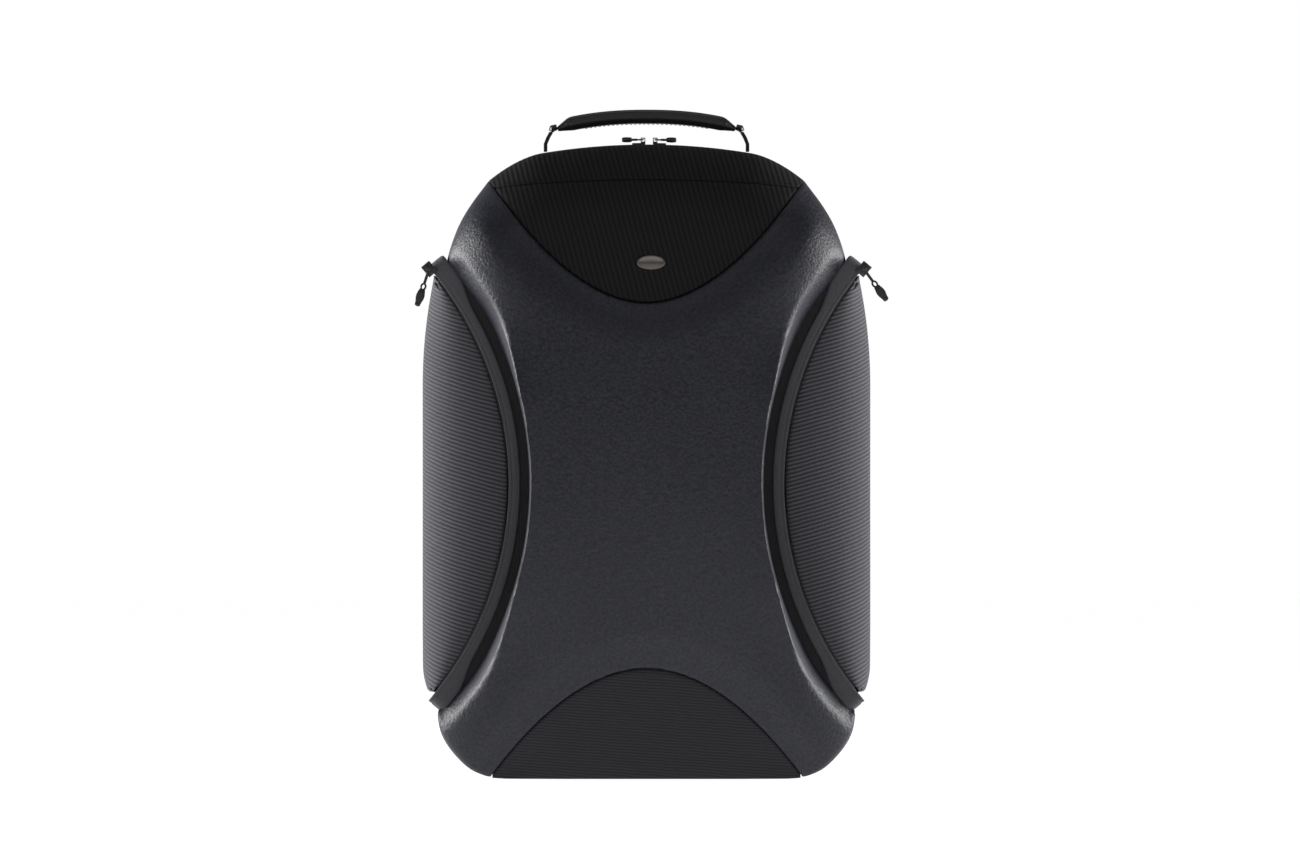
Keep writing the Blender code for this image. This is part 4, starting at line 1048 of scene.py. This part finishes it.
def pull_tab(name, start, length, thickness):
    """Moulded pull: a small ring at the link, and a waisted tab with grip ribs."""
    ring = [(start + 2.6 * MM + 2.4 * MM * c, 1.7 * MM * s, 0.0) for c, s in circle(20)]
    loop = sweep_profile(name + "_ring", ring + ring[:1], oval(1.5 * MM, 1.7 * MM, 8), (0, 0, 1),
                         PLASTIC)
    rings = []
    first = start + 4.2 * MM
    for t in np.linspace(0, 1, 41):
        x = first + (start + length - first) * t
        width = 2.2 + 1.1 * math.sin(math.pi * min(1.0, t * 1.15)) ** 1.5
        thick = thickness * (0.44 + 0.1 * math.sin(math.pi * t))
        if 0.25 < t < 0.8:
            thick += 0.14 * math.sin((t - 0.25) / 0.55 * math.tau * 5)
        # Rounded off at both ends
        over = max((t - 0.9) / 0.1, (0.06 - t) / 0.06, 0.0)
        size = max(0.04, math.sqrt(max(0.0, 1 - over ** 2)))
        rings.append([(x, y * size, z * size) for y, z in oval(2 * width * MM, 2 * thick * MM, 20, 3)])
    return joined(name, [loop, swept(name + "_body", rings, PLASTIC, sharp=50)])


def make_sliders():
    for side, word in SIDES:
        eye = Vector(JOINTS[f"main_pull_{word}_flip"]["pos_m"])
        outward = (eye - Vector((0, ZIP_Y, 0))).normalized()
        along = Vector((outward.z, 0, -outward.x)) * side
        lean = math.radians(18 if word == "left" else 36)
        hang = Vector((side * math.sin(lean), -math.tan(math.radians(10)), -math.cos(lean)))
        for kind, place, motion, direction, away, start, length, thickness in (
                ("main", "main_zip", "flip", along, outward, 4.3, 12.2, 3.8),
                ("side", "pocket_zip", "swing", hang, (0, -1, 0), 11.9, 18.5, 2.6)):
            slider, link, pull = (f"{kind}_{what}_{word}" for what in ("slider", "link", "pull"))
            refined(f"{place}_slider_{word}", slider, "dark_metal", slider, METAL, 0.35 * MM)
            refined(f"{place}_link_{word}", pull, "dark_metal", link, METAL, 0.2 * MM)
            tab = pull_tab(f"{place}_tab_{word}", start * MM, length * MM, thickness)
            tab.data.transform(pull_frame(f"{pull}_{motion}", direction, away))
            dress(tab, pull, "black_plastic", pull)


# Carry handle

def grip_drop(t):
    """How far the handle's middle line has come down at t, from -1 to 1 along the grip."""
    return 8 * MM * abs(t) ** 2.3


def make_handle():
    low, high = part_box("handle_grip")
    half = (high.x - low.x) / 2
    middle = high.z - 5.6 * MM
    path, sizes, rings = [], [], []
    for t in np.linspace(-1, 1, 81):
        taper = float(chamfer((1 - abs(t)) / 0.15))
        path.append((half * t, HANDLE_Y, middle - grip_drop(t) - 1.8 * MM * (1 - taper)))
        sizes.append(((5.4 + 2.7 * taper) * MM, (1.7 + 3.8 * taper) * MM))
    for point, (_, side, up), (w, h) in zip(path, frames_along(path, (0, 0, 1)), sizes):
        crease = 1 - 0.02 * math.sin(point[0] * 900)
        rings.append([Vector(point) + side * a * w * crease + up * b * h
                      for a, b in oval(2, 2, 36, 2.3)])
    grip = swept("grip_sleeve", rings, GRIP, sharp=60)
    dress(grip, "handle", "grip", "handle_grip")
    under = [Vector(p) - Vector((0, 0, h + 0.05 * MM)) for p, (_, h) in zip(path, sizes)][12:-12]
    sew("handle", "grip", "grip_stitching", under, (0, 0, -1), pitch=3.4, length=2.3)

    for side, word in SIDES:
        refined(f"handle_strap_{word}", "handle", "webbing", f"handle_webbing_{word}", WEBBING,
                0.5 * MM)
        refined(f"handle_crimp_{word}", "handle", "dark_metal", f"handle_ferrule_{word}", METAL,
                0.6 * MM)
        refined(f"handle_patch_{word}", "case", "webbing", f"handle_anchor_{word}", WEBBING, 0.5 * MM)
        low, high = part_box(f"handle_anchor_{word}")
        centre = (low + high) / 2
        tilt = -centre.x / CASE_HEIGHT
        # A sewn square with one diagonal
        corners = [(centre.x + u * 7 * MM, HANDLE_Y + v * 9 * MM,
                    centre.z + 0.75 * MM + u * 7 * MM * tilt)
                   for u, v in ((-1, -1), (1, -1), (1, 1), (-1, 1), (-1, -1), (1, 1))]
        sew("case", "webbing", f"patch_stitching_{word}", corners, (0, 0, 1), pitch=2.6, length=1.9,
            width=0.4)
        for face, depth in (("front", -1), ("back", 1)):
            place = Vector((side * 0.88 * half, HANDLE_Y + depth * 6.9 * MM, middle - grip_drop(0.88)))
            dress(dome(f"grip_rivet_{face}_{word}", place, (0, depth, 0)), "handle", "dark_metal")


def dome(name, centre, normal):
    """Low rivet head with a small dimple."""
    turn = Vector(normal).to_track_quat("Z", "Y")
    rings = []
    for size, lift in ((1.0, -1.0), (1.0, 0.25), (0.88, 0.7), (0.6, 0.98), (0.3, 0.85), (0.05, 0.8)):
        rings.append([centre + turn @ Vector((1.7 * size * c, 1.7 * size * s, 0.8 * lift)) * MM
                      for c, s in circle(24)])
    return swept(name, rings, METAL, sharp=60)


for pocket_side, pocket_word in SIDES:
    make_side_cover(pocket_side, pocket_word)
    make_band(pocket_side, pocket_word)
    make_pocket_zip(pocket_side, pocket_word)
    make_liner(pocket_side, pocket_word)
make_main_zip()
make_sliders()
make_handle()


# Back half of the case and its inside

WALL = 4 * MM
BACK_ROUNDING = 25 * MM


def tub_rings(inset):
    """Outline loops of the back half, from the zip to the flat of the back."""
    radius = BACK_ROUNDING - inset
    start = BACK_Y - BACK_ROUNDING
    places = [(inset, TUB_LOW.y + (start - TUB_LOW.y) * k / 5) for k in range(5)]
    for a in np.radians(np.linspace(0, 90, 13)):
        places.append((inset + radius * (1 - math.cos(a)), start + radius * math.sin(a)))
    return np.array([[(x, y, max(z, shrink)) for x, z in case_outline(shrink, 100)]
                     for shrink, y in places])


def make_tub():
    verts, faces = [], []
    for inset in (0.0, WALL):
        rings = tub_rings(inset)
        rows, around = rings.shape[:2]
        base = len(verts)
        verts.extend(rings.reshape(-1, 3))
        faces += tube_faces(rows, around, base)
        faces.append(tuple(range(base + (rows - 1) * around, base + rows * around)))
    each = len(faces) // 2
    faces += [(k, (k + 1) % around, base + (k + 1) % around, base + k) for k in range(around)]
    is_inside = [each <= k < 2 * each for k in range(len(faces))]
    tub = mesh_object("tub_moulding", verts, faces, TUB, sharp=50, inside=LINING, is_inside=is_inside)
    dress(tub, "case", "shell", "rear_tub")

    path = [(x, TUB_LOW.y + 3.4 * MM, z) for x, z in case_outline(0.9 * MM, 150)[2:-2]]
    dress(sweep_profile("tub_piping", path, oval(3.4 * MM, 3.4 * MM, 12), (0, 1, 0), WEBBING),
          "case", "webbing")
    path = [(x, TUB_LOW.y + 7.0 * MM, z) for x, z in case_outline(-0.05 * MM, 300)[4:-4]]
    sew("case", "shell", "tub_stitching", path, [(x, 0, z - 0.2) for x, _, z in path], pitch=4.2,
        length=3)


def make_inside():
    foam = (FOAM, "foam")
    divider = (DIVIDER, "divider_fabric")
    for name, node, (mat, slot), rounding in (
            ("wall_padding", "foam_wall", foam, 1.8), ("base_padding", "base_foam", foam, 1.8),
            ("cradle_pad_left", "cradle_left", foam, 3), ("cradle_pad_right", "cradle_right", foam, 3),
            ("cradle_pad_top", "cradle_top", foam, 3), ("cradle_pad_bottom", "cradle_bottom", foam, 3),
            ("top_shelf_pad", "top_divider", divider, 2.4),
            ("bottom_shelf_pad", "bottom_divider", divider, 2.4),
            ("battery_pad_1", "battery_divider_1", divider, 2.4),
            ("battery_pad_2", "battery_divider_2", divider, 2.4),
            ("battery_pad_3", "battery_divider_3", divider, 2.4)):
        refined(name, "case", slot, node, mat, rounding * MM)
    # Stitched front edge of each shelf
    for node in ("top_divider", "bottom_divider"):
        low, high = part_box(node)
        path = [(x, low.y, (low.z + high.z) / 2) for x in np.linspace(low.x, high.x, 41)[1:-1]]
        sew("case", "divider_fabric", f"{node}_stitching", path, (0, -1, 0), pitch=4, length=2.8)
    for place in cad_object("back_frame_sheet").material_slots:
        place.material = PLASTIC


# Padding and straps on the back

def rounded_line(low, high, radius, steps=7):
    """Closed rounded rectangle of (x, z) points."""
    line = []
    for cx, cz, start in ((high.x - radius, high.z - radius, 0), (low.x + radius, high.z - radius, 90),
                          (low.x + radius, low.z + radius, 180), (high.x - radius, low.z + radius, 270)):
        for a in np.radians(np.linspace(start, start + 90, steps + 1)):
            line.append((cx + radius * math.cos(a), cz + radius * math.sin(a)))
    return line


def coordinates(mesh):
    """Points of a mesh as the rows of an array."""
    points = np.empty(len(mesh.vertices) * 3)
    mesh.vertices.foreach_get("co", points)
    return points.reshape(-1, 3)


def blown_up(item, low):
    """How far each point moves when the pad's sewn back holds it and cloth pressure fills it."""
    start = coordinates(item.data)
    group = item.vertex_groups.new(name="sewn")
    group.add([int(i) for i in np.nonzero(start[:, 1] < low.y + 1.2 * MM)[0]], 1.0, "REPLACE")
    cloth = item.modifiers.new("Cloth", "CLOTH")
    cloth.settings.use_pressure = True
    cloth.settings.uniform_pressure_force = 4
    cloth.settings.vertex_group_mass = "sewn"
    cloth.settings.effector_weights.gravity = 0
    cloth.collision_settings.use_self_collision = False
    for frame_number in range(1, 21):
        bpy.context.scene.frame_set(frame_number)
    graph = bpy.context.evaluated_depsgraph_get()
    shift = coordinates(item.evaluated_get(graph).data) - start
    item.modifiers.clear()
    item.vertex_groups.clear()
    bpy.context.scene.frame_set(1)
    return shift


def stuffed(name, low, high, radius, reach):
    """Pad with a flat sewn back: a slightly smaller block, blown up as cloth by the foam inside it."""
    corner = Vector((3 * MM, 0, 3 * MM))
    line = rounded_line(low + corner, high - corner, radius)
    rings = [[(x, y, z) for x, z in line] for y in (low.y, high.y - 0.45 * (high.y - low.y))]
    item = swept(name, rings, AIR_MESH)
    remesh = item.modifiers.new("Remesh", "REMESH")
    remesh.mode = "VOXEL"
    remesh.voxel_size = 4.5 * MM
    applied(item)
    start = coordinates(item.data)
    shift = blown_up(item, low)
    far = np.linalg.norm(shift, axis=1)[:, None]
    shift *= np.minimum(1, reach / np.maximum(far, 1e-9))
    item.data.vertices.foreach_set("co", (start + shift).reshape(-1))
    smoother = item.modifiers.new("Subdivision", "SUBSURF")
    smoother.levels = 1
    smoother.render_levels = 1
    applied(item)
    item.data.shade_smooth()
    return item


def pressed(item, base_y, axis, levels, depth, width):
    """Press sewn channels into a pad, at levels along one axis."""
    points = coordinates(item.data)
    push = sum(depth * np.exp(-((points[:, axis] - level) / width) ** 2) for level in levels)
    points[:, 1] -= np.minimum(push, np.maximum(points[:, 1] - base_y, 0) * 0.75)
    item.data.vertices.foreach_set("co", points.reshape(-1))
    item.data.update()


def laid_on(item, line):
    """Where points of (x, z) meet the back of a pad."""
    bpy.context.view_layer.update()
    found = []
    for x, z in line:
        hit, place, _, _ = item.ray_cast((x, 0.3, z), (0, -1, 0))
        if hit:
            found.append(tuple(place))
    return found


def make_pad(word, name, node, radius, reach, axis, levels, channel, ends, count):
    """Back pad with channels at levels along an axis, a bound edge and thread in its channels."""
    low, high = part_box(node)
    if levels is None:
        levels = np.linspace(low.z, high.z, 6)[1:-1]
    pad = stuffed(name, low, high, radius, reach)
    pressed(pad, low.y, axis, levels, *channel)
    dress(pad, "case", "pad_fabric", node)
    inset = Vector((1.6 * MM, 0, 1.6 * MM))
    line = rounded_line(low + inset, high - inset, radius, 12)
    path = [(x, low.y + 1.5 * MM, z) for x, z in line]
    dress(sweep_profile(f"pad_binding_{word}", path, oval(3.0 * MM, 3.0 * MM, 10), (0, 1, 0), WEBBING,
                        closed=True), "case", "webbing")
    other = 2 - axis
    run = low[other] + (high[other] - low[other]) * np.linspace(*ends, count)
    seams = []
    for i, level in enumerate(levels):
        path = laid_on(pad, [(place, level) if axis == 2 else (level, place) for place in run])
        seams.append(stitches(f"channel_{i}", path, (0, 1, 0), pitch=4, length=2.8))
    dress(joined(f"channel_stitching_{word}", seams), "case", "pad_fabric")


def make_pads():
    for _, word in SIDES:
        make_pad(word, f"back_cushion_{word}", f"back_pad_{word}", 20 * MM, 7 * MM, 2, None,
                 (5 * MM, 3.4 * MM), (0.08, 0.92), 40)
    make_pad("lumbar", "lumbar_cushion", "lumbar_pad", 24 * MM, 9 * MM, 0,
             (-33 * MM, 33 * MM), (6 * MM, 3.6 * MM), (0.12, 0.88), 24)


def ribbon_path(points, side, steps):
    return [Vector(p) for p in smooth_path([(side * x * MM, y * MM, z * MM) for x, y, z in points],
                                           steps)]


STRAP_ROUTE = ((36, 69.6, 428), (38, 78, 418), (46, 90, 385), (58, 96, 320), (72, 97, 250),
               (84, 93, 190), (90, 88, 152))
WEBBING_ROUTE = ((90.5, 87.2, 134), (91, 87, 127.4), (100, 85, 108), (115, 78, 78), (128, 62.6, 44))


def make_straps():
    for side, word in SIDES:
        make_strap(side, word)
        make_ladder_lock(word)
        make_adjuster(side, word)


def strap_width(t):
    return (57 - 5 * smoothstep((t - 0.72) / 0.28)) * MM


def cross_row(name, point, across, up, half, lift, **sizes):
    """Bar tack: a short row of stitches across a strap, so many millimetres to both sides."""
    line = [point + across * a * MM + up * lift * MM for a in np.linspace(-half, half, 14)]
    return stitches(name, line, (0, 1, 0), **sizes)


def make_strap(side, word):
    path = ribbon_path(STRAP_ROUTE, side, 12)
    marks = frames_along(path, (0, 1, 0))
    places = np.linspace(0, 1, len(path))
    rings = []
    for t, point, (_, across, up) in zip(places, path, marks):
        end = round_over(min(t, 1 - t) / 0.035)
        width = strap_width(t) * (0.86 + 0.14 * end)
        height = (5 + 4.2 * end) * MM
        rings.append([point + across * a * width + up * b * height * (1 - 0.5 * abs(a) ** 3)
                      for a, b in oval(1, 1, 52, 3.4)])
    strap = swept(f"strap_padding_{word}", rings, AIR_MESH, sharp=60)
    dress(strap, "case", "pad_fabric", f"shoulder_strap_{word}")

    edges, seams = [], []
    middle = [path[i] + marks[i][2] * 4.9 * MM for i in range(2, len(path) - 1)]
    for sign in (-1, 1):
        line = [path[i] + marks[i][1] * sign * (strap_width(places[i]) / 2 - 0.3 * MM)
                for i in range(3, len(path) - 2)]
        edges.append(sweep_profile(f"edge_{sign}", line, oval(3.4 * MM, 5.4 * MM, 14, 2.6),
                                   (0, 1, 0), WEBBING, sharp=60))
        line = [p + marks[i + 2][1] * sign * 10.6 * MM + marks[i + 2][2] * 0.8 * MM
                for i, p in enumerate(middle)]
        seams.append(stitches(f"seam_{sign}", line, (0, 1, 0), pitch=4.2, length=3))
    dress(joined(f"strap_binding_{word}", edges), "case", "webbing")
    dress(sweep_profile(f"strap_webbing_{word}", middle, oval(25 * MM, 1.5 * MM, 24, 7), (0, 1, 0),
                        WEBBING, sharp=40), "case", "webbing")
    for k in range(1, 6):
        i = round(len(middle) * k / 6)
        ahead, across, up = marks[i + 2]
        for row in (-1.5 * MM, 1.5 * MM):
            seams.append(cross_row(f"tack_{k}", middle[i] + ahead * row, across, up, 10, 0.8,
                                   pitch=2, length=1.8, width=0.55))
    dress(joined(f"strap_stitching_{word}", seams), "case", "webbing")


def make_adjuster(side, word):
    """Lower webbing of a strap, with its bar tacks."""
    tail = ribbon_path(WEBBING_ROUTE, side, 10)
    dress(sweep_profile(f"adjuster_webbing_{word}", tail, oval(25 * MM, 1.8 * MM, 24, 7), (0, 1, 0),
                        WEBBING, sharp=40), "case", "webbing", f"lower_webbing_{word}")
    marks = frames_along(tail, (0, 1, 0))
    tacks = [cross_row(f"tack{i}", tail[i], marks[i][1], marks[i][2], 10.5, 0.95, pitch=2.2, length=1.9)
             for i in (-2, -6, -10)]
    dress(joined(f"adjuster_stitching_{word}", tacks), "case", "webbing")


def make_ladder_lock(word):
    """Moulded buckle: two cheeks and three bars, with the strap's loop round the top bar."""
    low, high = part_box(f"ladder_lock_{word}")
    middle = (low + high) / 2
    cheek = 4.2 * MM
    parts = [block(f"cheek_{i}", (x, low.y, low.z), (x + cheek, high.y, high.z), PLASTIC, 1.3 * MM)
             for i, x in enumerate((low.x, high.x - cheek))]
    for i, (z0, z1, depth) in enumerate(((18.2, 21.6, 1.7), (9.4, 13.2, 2.7), (0.5, 4.4, 2.1))):
        parts.append(block(f"bar_{i}", (low.x + 2 * MM, middle.y - depth * MM, low.z + z0 * MM),
                           (high.x - 2 * MM, middle.y + depth * MM, low.z + z1 * MM), PLASTIC,
                           1.2 * MM))
    dress(joined(f"ladder_buckle_{word}", parts), "case", "black_plastic", f"ladder_lock_{word}")
    bar_z = low.z + 19.9 * MM
    end_z = bar_z + 9 * MM
    half_turn = [(math.cos(a), -math.sin(a)) for a in np.linspace(0, math.pi, 9)]
    loop = [(middle.x, middle.y + 2.7 * MM * c, bar_z + 2.9 * MM * s) for c, s in half_turn]
    loop = [(middle.x, middle.y + 2.9 * MM, end_z)] + loop + [(middle.x, middle.y - 2.9 * MM, end_z)]
    ups = [(0, 1, 0.2)] + [(0, c, s) for c, s in half_turn] + [(0, -1, 0.2)]
    dress(sweep_profile(f"strap_loop_{word}", loop, oval(24 * MM, 1.3 * MM, 20, 7), ups, WEBBING,
                        sharp=40), "case", "webbing")


def make_yoke():
    low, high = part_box("strap_yoke")
    patch = block("yoke_patch", low, high, WEBBING, 2 * MM)
    dress(patch, "case", "webbing", "strap_yoke")
    seams = []
    for shrink in (4 * MM, 7 * MM):
        corner = Vector((shrink, 0, shrink))
        line = rounded_line(low + corner, high - corner, 3 * MM, 3)
        path = [(x, high.y, z) for x, z in line + line[:1]]
        seams.append(stitches(f"box_{len(seams)}", path, (0, 1, 0), length=2.6))
    for side, slope in ((-1, -1), (-1, 1), (1, -1), (1, 1)):
        path = [(side * 38 * MM + t * 16 * MM, high.y, (low.z + high.z) / 2 + slope * t * 10 * MM)
                for t in np.linspace(-1, 1, 12)]
        seams.append(stitches(f"cross_{side}_{slope}", path, (0, 1, 0), pitch=3.2, length=2.4))
    dress(joined("yoke_stitching", seams), "case", "webbing")


make_tub()
make_inside()
make_pads()
make_straps()
make_yoke()


# Setting

def make_setting():
    floor_mat = bpy.data.materials.new("studio_white")
    floor_mat.use_nodes = True
    shader = floor_mat.node_tree.nodes["Principled BSDF"]
    for label, value in (("Base Color", (0.15, 0.15, 0.15, 1)), ("Roughness", 0.8),
                         ("Emission Color", (1, 1, 1, 1)), ("Emission Strength", 0.97)):
        shader.inputs[label].default_value = value
    mesh = bpy.data.meshes.new("studio_floor")
    mesh.from_pydata([(-6, -6, 0), (6, -6, 0), (6, 6, 0), (-6, 6, 0)], [], [(0, 1, 2, 3)])
    mesh.materials.append(floor_mat)
    linked("studio_floor", mesh)
    world = bpy.data.worlds.new("studio")
    world.use_nodes = True
    tree = world.node_tree
    background = tree.nodes["Background"]
    background.inputs["Color"].default_value = (1, 1, 1, 1)
    # White round the horizon, dim above: the sweep is bright and the room is not
    direction, split, ramp = (tree.nodes.new(f"ShaderNode{kind}")
                              for kind in ("TexCoord", "SeparateXYZ", "MapRange"))
    ramp.interpolation_type = "SMOOTHSTEP"
    for label, value in (("From Min", 0.07), ("From Max", 0.15), ("To Min", 1.0), ("To Max", 0.06)):
        ramp.inputs[label].default_value = value
    for output, socket in ((direction.outputs["Generated"], split.inputs[0]),
                           (split.outputs["Z"], ramp.inputs["Value"]),
                           (ramp.outputs["Result"], background.inputs["Strength"])):
        tree.links.new(output, socket)
    bpy.context.scene.world = world
    bpy.context.scene.view_settings.view_transform = "Standard"


def area_light(name, place, size, power):
    """Rectangular light that points at the middle of the case."""
    data = bpy.data.lights.new(name, "AREA")
    data.shape = "RECTANGLE"
    data.size, data.size_y = size
    data.energy = power
    light = linked(name, data)
    light.location = place
    aim = Vector((0, ZIP_Y, 0.30)) - Vector(place)
    light.rotation_euler = aim.to_track_quat("-Z", "Y").to_euler()


def make_lights():
    for name, place, size, watts in (("overhead", (0.0, 0.5, 1.9), (1.2, 0.6), 2),
                                     ("front_top", (0.0, -1.8, 2.3), (1.8, 0.9), 6.8),
                                     ("side_left", (-1.5, 0.35, 0.45), (0.8, 1.0), 43),
                                     ("side_right", (1.5, 0.35, 0.45), (0.8, 1.0), 36)):
        area_light(name, place, size, watts)


def make_camera():
    data = bpy.data.cameras.new("camera")
    data.lens = 200
    data.sensor_width = 36
    distance = VIEW_WIDTH * data.lens / data.sensor_width
    camera = linked("camera", data)
    camera.location = (CAMERA_X, ZIP_Y - distance, CAMERA_Z)
    camera.rotation_euler = (math.radians(90), 0, 0)
    bpy.context.scene.camera = camera


make_setting()
make_lights()
make_camera()
